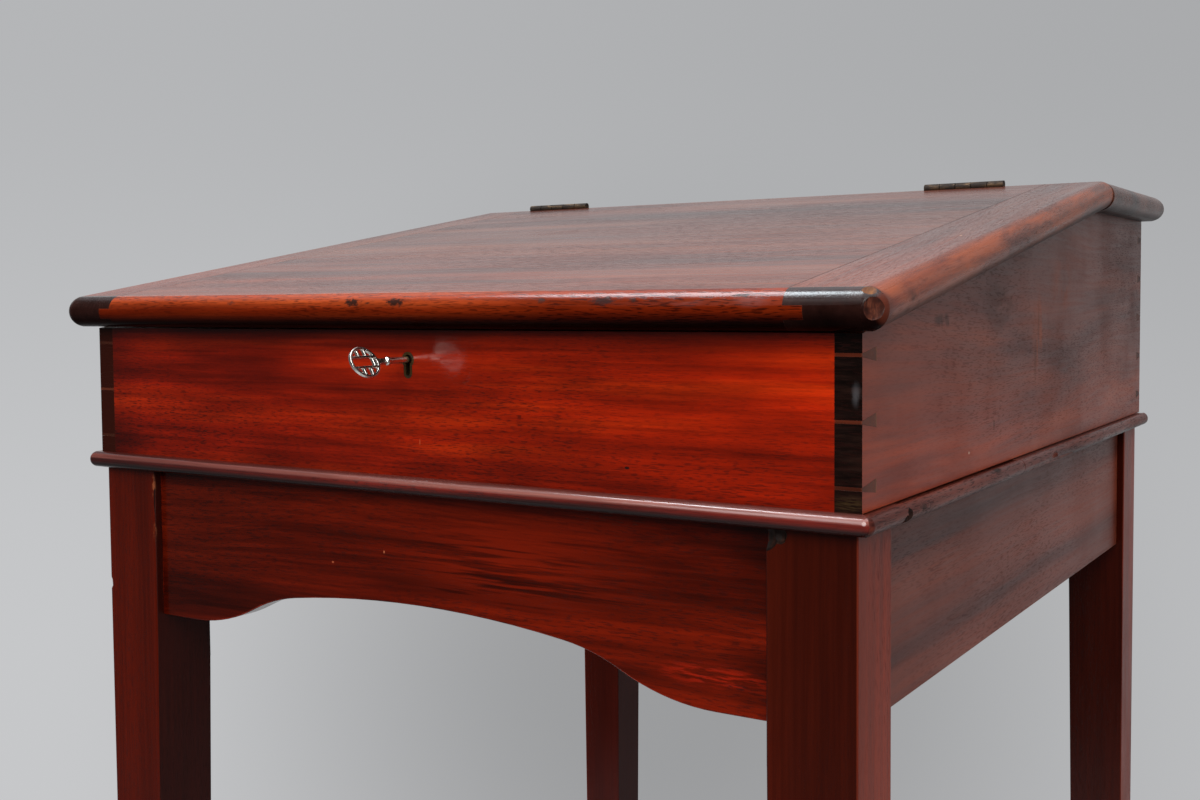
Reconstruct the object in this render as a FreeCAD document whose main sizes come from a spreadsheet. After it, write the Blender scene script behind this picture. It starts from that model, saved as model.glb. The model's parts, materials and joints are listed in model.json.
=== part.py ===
import FreeCAD, Part
import math
import os
import Sketcher

SIZES = (
    # the box, measured outside
    ("box_width", 680),
    ("box_depth", 785),
    ("front_height", 104),
    ("rear_height", 202),
    ("slope_run", 556),
    ("side_thick", 17),
    ("front_thick", 22),
    ("back_thick", 18),
    ("bottom_thick", 10),
    ("rebate", 8),
    ("pin_narrow", 2),
    ("pin_wide", 8.4),
    # the stand
    ("stand_height", 920),
    ("moulding_height", 13),
    ("moulding_out", 9),
    ("moulding_in", 30),
    ("patch_run", 52),
    ("middle_run", 310),
    ("leg_inset_side", 3.5),
    ("leg_inset_end", 2),
    ("front_leg_x", 59),
    ("front_leg_y", 56),
    ("rear_leg_x", 55),
    ("rear_leg_y", 54),
    ("leg_taper", 10),
    ("leg_arris", 2),
    ("apron_drop", 134),
    ("apron_thick", 20),
    ("apron_set", 6.5),
    ("tenon_long", 28),
    ("tenon_thick", 8),
    ("tenon_shoulder", 12),
    ("arch_rise", 39),
    ("arch_half_share", 0.865),
    ("crown_half_share", 0.45),
    ("crown_drop", 8.5),
    ("shoulder_radius", 145),
    # the ledge and the lid
    ("ledge_thick", 25.5),
    ("ledge_end_over", 20.5),
    ("ledge_back_over", 10),
    ("lid_thick", 25.5),
    ("lid_front_over", 19),
    ("lid_side_over", 19.5),
    ("lid_gap_front", 2.6),
    ("lid_gap_rear", 0.5),
    ("joint_gap", 1.6),
    ("cleat_width", 60),
    ("tongue_long", 12.5),
    # the hinges
    ("hinge_left_share", 0.735),
    ("hinge_right_share", 0.653),
    ("hinge_long", 77),
    ("hinge_rise", 2.6),
    ("barrel_radius", 3.8),
    ("pin_radius", 1.5),
    ("leaf_thick", 1.8),
    ("leaf_gap", 0.8),
    ("leaf_drop", 21),
    ("leaf_screw_drop", 13),
    ("leaf_screw_step", 26),
    ("screw_radius", 1.6),
    ("screw_head", 3.2),
    ("screw_long", 13),
    # the lock and its link plate
    ("key_drop", 21),
    ("landing_gap", 0.3),
    ("lock_plate_half", 42),
    ("lock_plate_low", 24),
    ("lock_plate_thick", 1.4),
    ("lock_screw_side", 37.5),
    ("lock_screw_drop", 18),
    ("lock_screw_lift", 14),
    ("lock_head_thick", 1.8),
    ("case_half", 33),
    ("case_low", 18),
    ("case_wall", 1.6),
    ("case_inside", 14.6),
    ("guide_near", 10),
    ("guide_far", 30),
    ("bolt_middle", 10),
    ("bolt_thick", 2.6),
    ("bolt_left", 16),
    ("bolt_right", 20),
    ("bolt_arm", 6),
    ("bolt_bar_low", 16.2),
    ("bolt_bar_high", 6.5),
    ("notch_half", 2.6),
    ("notch_centre", 4.5),
    ("notch_low", 11.8),
    ("finger_tip", 3),
    ("finger_low", 9),
    ("finger_high", 13.5),
    ("drill_radius", 1.3),
    ("drill_long", 9),
    ("link_half", 26),
    ("link_reach", 8),
    ("link_thick", 2),
    ("link_screw_run", 19),
    ("staple_half", 1.5),
    ("staple_wall", 1.2),
    ("eye_width", 4.2),
    ("eye_height", 6.2),
    # the keyhole and the key
    ("liner_radius", 5.6),
    ("liner_slot", 3.8),
    ("liner_wall", 2),
    ("liner_deep", 6),
    ("keyhole_low", 13.2),
    ("key_reach", 58),
    ("key_lean", 30),
    ("bow_long", 27),
    ("bow_wide", 23.5),
    ("bow_end_radius", 9.6),
    ("bow_wire", 1.8),
    ("bow_thick", 2.4),
    ("bow_bar_run", 3.9),
    ("bow_rung_step", 3.5),
    ("bow_cross_run", 4.7),
    ("neck_half", 2),
    ("bead_radius", 3.1),
    ("bead_long", 3.8),
    ("bead_run", 19.5),
    ("shank_radius", 2.4),
    ("bit_reach", 10.6),
    ("bit_thick", 2.4),
    ("bit_long", 5.5),
    ("key_tip", 13),
    # fits
    ("glue_gap", 0.05),
    ("run_gap", 0.08),
    ("free_gap", 0.4),
    ("overrun", 5),
)

# heights of the dovetail pins as shares of the board they stand on
FRONT_PIN_SHARES = (0.135, 0.507, 0.88)
BACK_PIN_SHARES = (0.1, 0.3, 0.5, 0.7, 0.9)
KNUCKLE_COUNT = 5
TONGUE_LOW_SHARE = 1 / 3
TONGUE_HIGH_SHARE = 2 / 3
FULL_TURN = 360

# a sketch's own axes, and the ends and centre of an edge in it
LEVEL_AXIS_INDEX = -1
UPRIGHT_AXIS_INDEX = -2
START_INDEX = 1
END_INDEX = 2
CENTRE_INDEX = 3

document = FreeCAD.newDocument("clerks_standing_desk")
sheet = document.addObject("Spreadsheet::Sheet", "Sizes")
nodes = []


class Dim:
    """A size kept both as a value and as the sheet expression that drives it."""

    def __init__(self, value, text):
        self.value = value
        self.text = text

    def __add__(self, other):
        other = dim(other)
        return Dim(self.value + other.value, f"({self.text} + {other.text})")

    def __sub__(self, other):
        other = dim(other)
        return Dim(self.value - other.value, f"({self.text} - {other.text})")

    def __mul__(self, other):
        other = dim(other)
        return Dim(self.value * other.value, f"({self.text} * {other.text})")

    def __truediv__(self, other):
        other = dim(other)
        return Dim(self.value / other.value, f"({self.text} / {other.text})")

    def __rsub__(self, other):
        return dim(other) - self

    def __rtruediv__(self, other):
        return dim(other) / self

    def __neg__(self):
        return Dim(-self.value, f"(-1 * {self.text})")

    __radd__ = __add__
    __rmul__ = __mul__


def dim(item):
    return item if isinstance(item, Dim) else Dim(item, repr(item))


def root(item):
    return Dim(math.sqrt(item.value), f"sqrt({item.text})")


def angle_of(slope):
    return Dim(math.degrees(math.atan(slope.value)), f"atan({slope.text})")


class Sizes:
    """The sheet's cells by name."""

    def __init__(self):
        self.row = 0

    def enter(self, name, content):
        self.row += 1
        sheet.set(f"A{self.row}", name)
        sheet.set(f"B{self.row}", content)
        sheet.setAlias(f"B{self.row}", name)

    def derive(self, name, item):
        self.enter(name, "=" + item.text.replace("Sizes.", ""))
        derived = Dim(item.value, f"Sizes.{name}")
        setattr(self, name, derived)
        return derived


s = Sizes()
for name, value in SIZES:
    s.enter(name, str(value))
document.recompute()
for name, value in SIZES:
    setattr(s, name, Dim(float(sheet.get(name)), f"Sizes.{name}"))


def plane(body, role):
    return next(item for item in body.Origin.OriginFeatures if item.Role == role)


def make_body(label, base, turn=None):
    """A named piece in its own frame, turned about one axis where asked."""
    body = document.addObject("PartDesign::Body", label)
    body.Label = label
    if turn is not None:
        axis, angle = turn
        body.Placement = FreeCAD.Placement(FreeCAD.Vector(), FreeCAD.Rotation(axis, angle.value))
        body.setExpression("Placement.Rotation.Angle", angle.text)
    for axis_name, item in zip("xyz", base):
        body.setExpression(f"Placement.Base.{axis_name}", dim(item).text)
    nodes.append(body)
    return body


def hold_along(sketch, edge, end, kind, item, axis):
    """Hold a point at one distance from the sketch's origin, or on the axis at none."""
    item = dim(item)
    if item.text == "0":
        sketch.addConstraint(Sketcher.Constraint("PointOnObject", edge, end, axis))
        return
    place = Sketcher.Constraint(kind, LEVEL_AXIS_INDEX, START_INDEX, edge, end, item.value)
    index = sketch.addConstraint(place)
    sketch.setExpression(f"Constraints[{index}]", item.text)


def pin_point(sketch, edge, end, x, y):
    """Hold one point of a sketch at a place given by sizes."""
    hold_along(sketch, edge, end, "DistanceX", x, UPRIGHT_AXIS_INDEX)
    hold_along(sketch, edge, end, "DistanceY", y, LEVEL_AXIS_INDEX)


def vector(x, y):
    return FreeCAD.Vector(dim(x).value, dim(y).value, 0)


def draw_circle(sketch, circle):
    x, y, radius = circle
    ring = Part.Circle(vector(x, y), FreeCAD.Vector(0, 0, 1), radius.value)
    edge = sketch.addGeometry(ring, False)
    pin_point(sketch, edge, CENTRE_INDEX, x, y)
    index = sketch.addConstraint(Sketcher.Constraint("Radius", edge, radius.value))
    sketch.setExpression(f"Constraints[{index}]", radius.text)


def draw_edge(sketch, corner, following):
    """One side of an outline; returns its number and which end comes first."""
    start = vector(*corner[:2])
    finish = vector(*following[:2])
    if len(corner) == 2:
        return sketch.addGeometry(Part.LineSegment(start, finish), False), START_INDEX, END_INDEX
    centre_x, centre_y, turn = corner[2]
    centre = vector(centre_x, centre_y)
    ends = (start, finish) if turn > 0 else (finish, start)
    angles = [math.atan2(point.y - centre.y, point.x - centre.x) for point in ends]
    circle = Part.Circle(centre, FreeCAD.Vector(0, 0, 1), (start - centre).Length)
    edge = sketch.addGeometry(Part.ArcOfCircle(circle, *angles), False)
    return (edge, START_INDEX, END_INDEX) if turn > 0 else (edge, END_INDEX, START_INDEX)


def draw_outline(sketch, outline):
    """A closed outline; a corner with a third entry starts an arc about that centre."""
    edges = []
    for number, corner in enumerate(outline):
        edges.append(draw_edge(sketch, corner, outline[(number + 1) % len(outline)]))
    for number, (edge, first, last) in enumerate(edges):
        next_edge, next_first, next_last = edges[(number + 1) % len(edges)]
        joint = Sketcher.Constraint("Coincident", edge, last, next_edge, next_first)
        sketch.addConstraint(joint)
    for number, (edge, first, last) in enumerate(edges):
        corner = outline[number]
        following = outline[(number + 1) % len(outline)]
        pin_point(sketch, edge, first, *corner[:2])
        if len(corner) == 3:
            chord = vector(*following[:2]) - vector(*corner[:2])
            centre_x, centre_y, turn = corner[2]
            if abs(chord.x) >= abs(chord.y):
                hold_along(sketch, edge, CENTRE_INDEX, "DistanceY", centre_y, LEVEL_AXIS_INDEX)
            else:
                hold_along(sketch, edge, CENTRE_INDEX, "DistanceX", centre_x, UPRIGHT_AXIS_INDEX)


def make_sketch(body, name, role, outlines, level):
    sketch = body.newObject("Sketcher::SketchObject", name)
    sketch.AttachmentSupport = (plane(body, role), [""])
    sketch.MapMode = "FlatFace"
    offset = -level if role == "XZ_Plane" else dim(level)
    sketch.setExpression("AttachmentOffset.Base.z", offset.text)
    for outline in outlines:
        if isinstance(outline, tuple):
            draw_circle(sketch, outline)
        else:
            draw_outline(sketch, outline)
    return sketch


def sweep(kind, body, name, role, outlines, low, high):
    """Add or take away a prism between two levels across one of the frame's planes."""
    low = dim(low)
    high = dim(high)
    feature_outline = make_sketch(body, name + "_outline", role, outlines, (low + high) / 2)
    feature = body.newObject("PartDesign::" + kind, name)
    feature.Profile = feature_outline
    feature.SideType = "Symmetric"
    feature.Length = (high - low).value
    feature.setExpression("Length", (high - low).text)
    body.Tip = feature
    return feature


def add(body, name, role, outlines, low, high):
    return sweep("Pad", body, name, role, outlines, low, high)


def cut(body, name, role, outlines, low, high):
    return sweep("Pocket", body, name, role, outlines, low, high)


def sink(kind, body, name, role, outlines, level, length, angle, reverse):
    """A tapering prism from one level, for screw heads and their seats."""
    feature_outline = make_sketch(body, name + "_outline", role, outlines, level)
    feature = body.newObject("PartDesign::" + kind, name)
    feature.Profile = feature_outline
    feature.Reversed = reverse
    feature.Length = length.value
    feature.setExpression("Length", length.text)
    feature.TaperAngle = -angle.value
    feature.setExpression("TaperAngle", (-angle).text)
    body.Tip = feature
    return feature


def box(x0, x1, y0, y1):
    return [(x0, y0), (x1, y0), (x1, y1), (x0, y1)]


def rounded(x0, x1, y0, y1, radius):
    return [
        (x0 + radius, y0),
        (x1 - radius, y0, (x1 - radius, y0 + radius, 1)),
        (x1, y0 + radius),
        (x1, y1 - radius, (x1 - radius, y1 - radius, 1)),
        (x1 - radius, y1),
        (x0 + radius, y1, (x0 + radius, y1 - radius, 1)),
        (x0, y1 - radius),
        (x0, y0 + radius, (x0 + radius, y0 + radius, 1)),
    ]


def nosed(nose, back, low, high, sign):
    """A board's section with a half-round edge; sign is where the back lies from the nose."""
    radius = (high - low) / 2
    middle = nose + sign * radius
    return [
        (middle, low),
        (back, low),
        (back, high),
        (middle, high, (middle, low + radius, sign)),
    ]


def nose_waste(nose, low, high, sign):
    """What is taken off a square edge to leave it half-round."""
    radius = (high - low) / 2
    middle = nose + sign * radius
    beyond = nose - sign * s.overrun
    return [
        (middle, low - s.overrun),
        (beyond, low - s.overrun),
        (beyond, high + s.overrun),
        (middle, high + s.overrun),
        (middle, high, (middle, low + radius, sign)),
        (middle, low),
    ]


def keyhole(radius, slot, low, centre):
    """A round hole with a slot hanging from it, about the key's axis."""
    meet = centre - root(radius * radius - slot * slot)
    foot = centre - low + slot
    return [
        (-slot, meet, (0, centre, -1)),
        (slot, meet),
        (slot, foot, (0, foot, -1)),
        (-slot, foot),
    ]


# derived places
half = s.derive("half_width", s.box_width / 2)
front_y = s.derive("front_y", (s.key_reach - s.box_depth - s.ledge_back_over) / 2)
stand_top = s.derive("stand_top", s.stand_height - s.moulding_height)
apron_z = s.derive("apron_z", s.stand_height - s.apron_drop)
side_slope = s.derive("side_slope", (s.rear_height - s.front_height) / s.slope_run)
lid_foot = s.derive("lid_foot", s.front_height + s.lid_gap_front)
lid_slope = s.derive("lid_slope", (s.rear_height + s.lid_gap_rear - lid_foot) / s.slope_run)
lid_cos = s.derive("lid_cos", 1 / root(1 + lid_slope * lid_slope))
lid_sin = s.derive("lid_sin", lid_slope * lid_cos)
inner = s.derive("inner_half", half - s.side_thick)
hinge_z = s.derive("hinge_z", s.rear_height + s.ledge_thick + s.hinge_rise)
key_height = s.derive("key_height", s.front_height - s.key_drop)
lid_rise = s.lid_gap_front + s.front_thick * lid_slope
lock_top = s.derive(
    "lock_top", s.key_drop + lid_rise - s.link_thick / lid_cos - s.landing_gap)
leg_outer = s.derive("leg_outer", half - s.leg_inset_side)
apron_face = s.derive("apron_face", s.leg_inset_end + s.apron_set)
back_face = s.derive("back_face", s.box_depth - s.leg_inset_end - s.apron_set)
side_face = s.derive("side_face", leg_outer - s.apron_set)
tenon_in = s.derive("tenon_in", (s.apron_thick - s.tenon_thick) / 2)
tenon_low = s.derive("tenon_low", apron_z + s.tenon_shoulder)
tenon_high = s.derive("tenon_high", stand_top - s.tenon_shoulder)

STAND = (0, front_y, 0)
STRIP = (0, front_y, stand_top)
BOX = (0, front_y, s.stand_height)
LID = (0, front_y, s.stand_height + lid_foot)
LID_TURN = (FreeCAD.Vector(1, 0, 0), angle_of(lid_slope))
LOCK = (0, front_y + s.front_thick, s.stand_height + key_height)
KEY = (0, front_y, s.stand_height + key_height)
KEY_TURN = (FreeCAD.Vector(0, 1, 0), -s.key_lean)


def span(side, near, far):
    """Two distances from the middle as a low and a high place on the given side."""
    return (near, far) if side > 0 else (-far, -near)


# the legs
def make_leg(label, side, leg_x, y0, y1, inner_y, apron_y):
    inner_x = leg_outer - leg_x
    x0, x1 = span(side, inner_x, leg_outer)
    body = make_body(label, STAND)
    add(body, "post", "XY_Plane", [rounded(x0, x1, y0, y1, s.leg_arris)], 0, stand_top)
    taper_x = [
        (side * inner_x, apron_z),
        (side * (inner_x + s.leg_taper), 0),
        (side * (inner_x - s.overrun), 0),
        (side * (inner_x - s.overrun), apron_z),
    ]
    cut(body, "taper_across", "XZ_Plane", [taper_x], y0 - s.overrun, y1 + s.overrun)
    front = inner_y.value > apron_y.value
    into = -1 if front else 1
    taper_y = [
        (inner_y, apron_z),
        (inner_y + into * s.leg_taper, 0),
        (inner_y - into * s.overrun, 0),
        (inner_y - into * s.overrun, apron_z),
    ]
    cut(body, "taper_along", "YZ_Plane", [taper_y], x0 - s.overrun, x1 + s.overrun)
    deep_x = inner_x + s.tenon_long + s.glue_gap
    mortise_x = span(side, inner_x - s.overrun, deep_x)
    mortise_y = (apron_y + tenon_in - s.glue_gap, apron_y + tenon_in + s.tenon_thick + s.glue_gap)
    low = tenon_low - s.glue_gap
    high = tenon_high + s.glue_gap
    cut(body, "mortise_across", "XY_Plane", [box(*mortise_x, *mortise_y)], low, high)
    socket_x = span(
        side,
        side_face - tenon_in - s.tenon_thick - s.glue_gap,
        side_face - tenon_in + s.glue_gap,
    )
    deep_y = inner_y + into * (s.tenon_long + s.glue_gap)
    open_y = inner_y - into * s.overrun
    socket_y = (deep_y, open_y) if front else (open_y, deep_y)
    cut(body, "mortise_along", "XY_Plane", [box(*socket_x, *socket_y)], low, high)


front_back = s.derive("front_leg_back", s.leg_inset_end + s.front_leg_y)
rear_front = s.derive("rear_leg_front", s.box_depth - s.leg_inset_end - s.rear_leg_y)
rear_apron_y = s.derive("rear_apron_front", back_face - s.apron_thick)
for word, side in (("left", -1), ("right", 1)):
    make_leg(f"leg_front_{word}", side, s.front_leg_x, dim(s.leg_inset_end), front_back,
             front_back, apron_face)
    make_leg(f"leg_rear_{word}", side, s.rear_leg_x, rear_front,
             s.box_depth - s.leg_inset_end, rear_front, rear_apron_y)


# the front apron: a flat arch with rounded shoulders that runs out into straight ends
def arch_outline(end_x):
    crown = apron_z + s.arch_rise
    arch_half = s.derive("arch_half", end_x * s.arch_half_share)
    crown_half = s.derive("crown_half", end_x * s.crown_half_share)
    crown_radius = s.derive(
        "crown_radius",
        (crown_half * crown_half + s.crown_drop * s.crown_drop) / (2 * s.crown_drop),
    )
    crown_sin = s.derive("crown_sin", crown_half / crown_radius)
    crown_cos = s.derive("crown_cos", 1 - s.crown_drop / crown_radius)
    reach = s.derive("arch_reach", arch_half - crown_half + s.shoulder_radius * crown_sin)
    fall = s.derive(
        "arch_fall",
        s.arch_rise - s.crown_drop + s.shoulder_radius - s.shoulder_radius * crown_cos,
    )
    half_tan = s.derive("arch_half_tan", fall / reach)
    turn_sin = s.derive("arch_sin", 2 * half_tan / (1 + half_tan * half_tan))
    turn_cos = s.derive("arch_cos", (1 - half_tan * half_tan) / (1 + half_tan * half_tan))
    foot_radius = s.derive("foot_radius", reach / turn_sin - s.shoulder_radius)
    crown_end = crown - s.crown_drop
    shoulder_x = crown_half - s.shoulder_radius * crown_sin
    shoulder_z = crown_end - s.shoulder_radius * crown_cos
    bend_x = s.derive("bend_x", shoulder_x + s.shoulder_radius * turn_sin)
    bend_z = s.derive("bend_z", shoulder_z + s.shoulder_radius * turn_cos)
    foot_z = apron_z + foot_radius
    return [
        (-end_x, stand_top),
        (-end_x, apron_z),
        (-arch_half, apron_z, (-arch_half, foot_z, 1)),
        (-bend_x, bend_z, (-shoulder_x, shoulder_z, -1)),
        (-crown_half, crown_end, (0, crown - crown_radius, -1)),
        (crown_half, crown_end, (shoulder_x, shoulder_z, -1)),
        (bend_x, bend_z, (arch_half, foot_z, 1)),
        (arch_half, apron_z),
        (end_x, apron_z),
        (end_x, stand_top),
    ]


def add_cross_tenons(body, end_x, face_y):
    tongue = box(face_y + tenon_in, face_y + tenon_in + s.tenon_thick, tenon_low, tenon_high)
    for word, side in (("left", -1), ("right", 1)):
        low, high = span(side, end_x - s.tenon_shoulder, end_x + s.tenon_long)
        add(body, f"tenon_{word}", "YZ_Plane", [tongue], low, high)


front_end = s.derive("front_apron_end", leg_outer - s.front_leg_x)
apron_front = make_body("apron_front", STAND)
add(apron_front, "rail", "XZ_Plane", [arch_outline(front_end)], apron_face,
    apron_face + s.apron_thick)
add_cross_tenons(apron_front, front_end, apron_face)

# the rear apron rises to the box, where no strip lies
rear_end = s.derive("rear_apron_end", leg_outer - s.rear_leg_x)
apron_rear = make_body("apron_rear", STAND)
add(apron_rear, "rail", "XZ_Plane", [box(-rear_end, rear_end, apron_z, s.stand_height)],
    rear_apron_y, back_face)
add_cross_tenons(apron_rear, rear_end, rear_apron_y)

for word, side in (("left", -1), ("right", 1)):
    apron = make_body(f"apron_{word}", STAND)
    low, high = span(side, side_face - s.apron_thick, side_face)
    add(apron, "rail", "YZ_Plane", [box(front_back, rear_front, apron_z, stand_top)], low, high)
    low, high = span(side, side_face - tenon_in - s.tenon_thick, side_face - tenon_in)
    tenon = box(front_back - s.tenon_long, rear_front + s.tenon_long, tenon_low, tenon_high)
    add(apron, "tenons", "YZ_Plane", [tenon], low, high)


# the half-round strips under the box, mitred at the front corners
def mitre_waste(side, ahead):
    """The part beyond a front mitre: ahead of it, or outside it."""
    outer_x = half + s.moulding_out + s.overrun
    inner_x = half - s.moulding_in - s.overrun
    outer_y = -s.moulding_out - s.overrun
    inner_y = s.moulding_in + s.overrun
    third = (side * inner_x, outer_y) if ahead else (side * outer_x, inner_y)
    return [(side * outer_x, outer_y), (side * inner_x, inner_y), third]


strip_nose = s.derive("strip_nose", half + s.moulding_out)
strip_back = s.derive("strip_back", half - s.moulding_in)
moulding_front = make_body("moulding_front", STRIP)
section = nosed(-s.moulding_out, s.moulding_in, dim(0), s.moulding_height, 1)
add(moulding_front, "strip", "YZ_Plane", [section], -strip_nose, strip_nose)
for word, side in (("left", -1), ("right", 1)):
    cut(moulding_front, f"mitre_{word}", "XY_Plane", [mitre_waste(side, False)],
        -s.overrun, s.moulding_height + s.overrun)


def make_side_strip(label, side, y0, y1, mitred):
    body = make_body(label, STRIP)
    strip = nosed(side * strip_nose, side * strip_back, dim(0), s.moulding_height, -side)
    add(body, "strip", "XZ_Plane", [strip], y0, y1)
    if mitred:
        cut(body, "mitre", "XY_Plane", [mitre_waste(side, True)],
            -s.overrun, s.moulding_height + s.overrun)


make_side_strip("moulding_left", -1, -s.moulding_out, s.box_depth, True)
make_side_strip("moulding_right_front", 1, -s.moulding_out, s.patch_run, True)
make_side_strip("moulding_right_middle", 1, s.patch_run + s.glue_gap, s.middle_run, False)
make_side_strip("moulding_right_rear", 1, s.middle_run + s.glue_gap, s.box_depth, False)


# the box: pins on the front and back boards, tails on the sides
def pin_outlines(shares, height, outer_y, inner_y, gap):
    outlines = []
    narrow = s.pin_narrow / 2 + gap
    wide = s.pin_wide / 2 + gap
    for share in shares:
        middle = height * share
        outlines.append([
            (outer_y, middle - narrow),
            (outer_y, middle + narrow),
            (inner_y, middle + wide),
            (inner_y, middle - wide),
        ])
    return outlines


back_inside = s.derive("back_inside", s.box_depth - s.back_thick)
for word, side in (("left", -1), ("right", 1)):
    board = make_body(f"box_{word}_side", BOX)
    low, high = span(side, inner, half)
    profile = [
        (0, 0),
        (s.box_depth, 0),
        (s.box_depth, s.rear_height),
        (s.slope_run, s.rear_height),
        (0, s.front_height),
    ]
    add(board, "board", "YZ_Plane", [profile], low, high)
    sockets = pin_outlines(FRONT_PIN_SHARES, s.front_height, 0, s.front_thick, s.glue_gap)
    sockets += pin_outlines(BACK_PIN_SHARES, s.rear_height, s.box_depth, back_inside, s.glue_gap)
    cut(board, "sockets", "YZ_Plane", sockets, low - s.overrun, high + s.overrun)
    low, high = span(side, inner - s.overrun, inner + s.rebate)
    floor = box(s.front_thick, back_inside, -s.overrun, s.bottom_thick)
    cut(board, "rebate", "YZ_Plane", [floor], low, high)

box_front = make_body("box_front", BOX)
front_section = [
    (0, 0),
    (s.front_thick, 0),
    (s.front_thick, s.front_height + s.front_thick * side_slope),
    (0, s.front_height),
]
clear_inner = s.derive("clear_inner", inner - s.glue_gap)
add(box_front, "board", "YZ_Plane", [front_section], -clear_inner, clear_inner)
front_pins = pin_outlines(FRONT_PIN_SHARES, s.front_height, 0, s.front_thick, dim(0))
add(box_front, "pins", "YZ_Plane", front_pins, -half, half)
cut(box_front, "rebate", "XZ_Plane", [box(-clear_inner, clear_inner, -s.overrun, s.bottom_thick)],
    s.front_thick - s.rebate, s.front_thick + s.overrun)
board_keyhole = keyhole(s.liner_radius + s.glue_gap, s.liner_slot + s.glue_gap,
                        s.keyhole_low + s.glue_gap, key_height)
cut(box_front, "keyhole", "XZ_Plane", [board_keyhole], -s.overrun, s.front_thick + s.overrun)


def lock_screw_circles(radius, height):
    places = []
    for side in (-1, 1):
        for level in (height - s.lock_screw_drop, height + s.lock_screw_lift):
            places.append((side * s.lock_screw_side, level, radius))
    return places


cut(box_front, "screw_holes", "XZ_Plane",
    lock_screw_circles(s.screw_radius + s.glue_gap, key_height),
    s.front_thick - s.screw_long - s.glue_gap, s.front_thick + s.overrun)

box_back = make_body("box_back", BOX)
add(box_back, "board", "XZ_Plane", [box(-clear_inner, clear_inner, 0, s.rear_height)],
    back_inside, s.box_depth)
back_pins = pin_outlines(BACK_PIN_SHARES, s.rear_height, s.box_depth, back_inside, dim(0))
add(box_back, "pins", "YZ_Plane", back_pins, -half, half)
cut(box_back, "rebate", "XZ_Plane", [box(-clear_inner, clear_inner, -s.overrun, s.bottom_thick)],
    back_inside - s.overrun, back_inside + s.rebate)

box_bottom = make_body("box_bottom", BOX)
near_x = clear_inner
far_x = inner + s.rebate - s.glue_gap
near_y = s.front_thick - s.rebate + s.glue_gap
far_y = back_inside + s.rebate - s.glue_gap
step_y = s.front_thick + s.glue_gap
last_y = back_inside - s.glue_gap
floor_outline = [
    (-near_x, near_y), (near_x, near_y), (near_x, step_y), (far_x, step_y),
    (far_x, last_y), (near_x, last_y), (near_x, far_y), (-near_x, far_y),
    (-near_x, last_y), (-far_x, last_y), (-far_x, step_y), (-near_x, step_y),
]
add(box_bottom, "board", "XY_Plane", [floor_outline], 0, s.bottom_thick - s.glue_gap)

keyhole_liner = make_body("keyhole_liner", BOX)
liner_outer = keyhole(s.liner_radius, s.liner_slot, s.keyhole_low, key_height)
key_room = (s.liner_radius - s.liner_wall, s.liner_slot - s.liner_wall,
            s.keyhole_low - s.liner_wall)
liner_inner = keyhole(*key_room, key_height)
add(keyhole_liner, "lining", "XZ_Plane", [liner_outer, liner_inner], 0, s.liner_deep)

# the ledge behind the lid
top_ledge = make_body("top_ledge", BOX)
ledge_half = s.derive("ledge_half", half + s.ledge_end_over)
ledge_top = s.derive("ledge_top", s.rear_height + s.ledge_thick)
ledge_front = s.derive("ledge_front", s.slope_run + s.joint_gap / 2)
ledge_back = s.derive("ledge_back", s.box_depth + s.ledge_back_over)
ledge_radius = s.ledge_thick / 2
ledge_mid = s.rear_height + ledge_radius
ledge_section = [
    (-ledge_half + ledge_radius, s.rear_height),
    (ledge_half - ledge_radius, s.rear_height, (ledge_half - ledge_radius, ledge_mid, 1)),
    (ledge_half - ledge_radius, ledge_top),
    (-ledge_half + ledge_radius, ledge_top, (-ledge_half + ledge_radius, ledge_mid, 1)),
]
add(top_ledge, "board", "XZ_Plane", [ledge_section], ledge_front, ledge_back)
cut(top_ledge, "back_nose", "YZ_Plane", [nose_waste(ledge_back, s.rear_height, ledge_top, -1)],
    -ledge_half - s.overrun, ledge_half + s.overrun)

HINGES = (
    ("left", s.derive("hinge_left_x", -half * s.hinge_left_share)),
    ("right", s.derive("hinge_right_x", half * s.hinge_right_share)),
)
leaf_far = s.derive("leaf_far", s.leaf_gap / 2 + s.leaf_thick)


def leaf_screw_circles(middle, level, radius):
    return [(middle + step * s.leaf_screw_step, level, radius) for step in (-1, 0, 1)]


leaf_low = hinge_z - s.leaf_drop - s.glue_gap
for word, middle in HINGES:
    reach = s.hinge_long / 2 + s.glue_gap
    seat = box(s.slope_run, s.slope_run + leaf_far + s.glue_gap, leaf_low, ledge_top + s.overrun)
    cut(top_ledge, f"leaf_seat_{word}", "YZ_Plane", [seat], middle - reach, middle + reach)
    reach = s.hinge_long / 2 + s.free_gap
    groove = (s.slope_run, hinge_z, s.barrel_radius + s.free_gap)
    cut(top_ledge, f"barrel_groove_{word}", "YZ_Plane", [groove], middle - reach, middle + reach)
    holes = leaf_screw_circles(middle, hinge_z - s.leaf_screw_drop, s.screw_radius + s.glue_gap)
    cut(top_ledge, f"screw_holes_{word}", "XZ_Plane", holes, s.slope_run,
        s.slope_run + leaf_far + s.screw_long + s.glue_gap)


# the lid: a panel with a tongue at each end, and a grooved cleat over each tongue
def in_lid(y, z):
    """A place in the box's frame as the lid's frame has it."""
    rise = z - lid_foot
    return (y * lid_cos + rise * lid_sin, rise * lid_cos - y * lid_sin)


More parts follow.
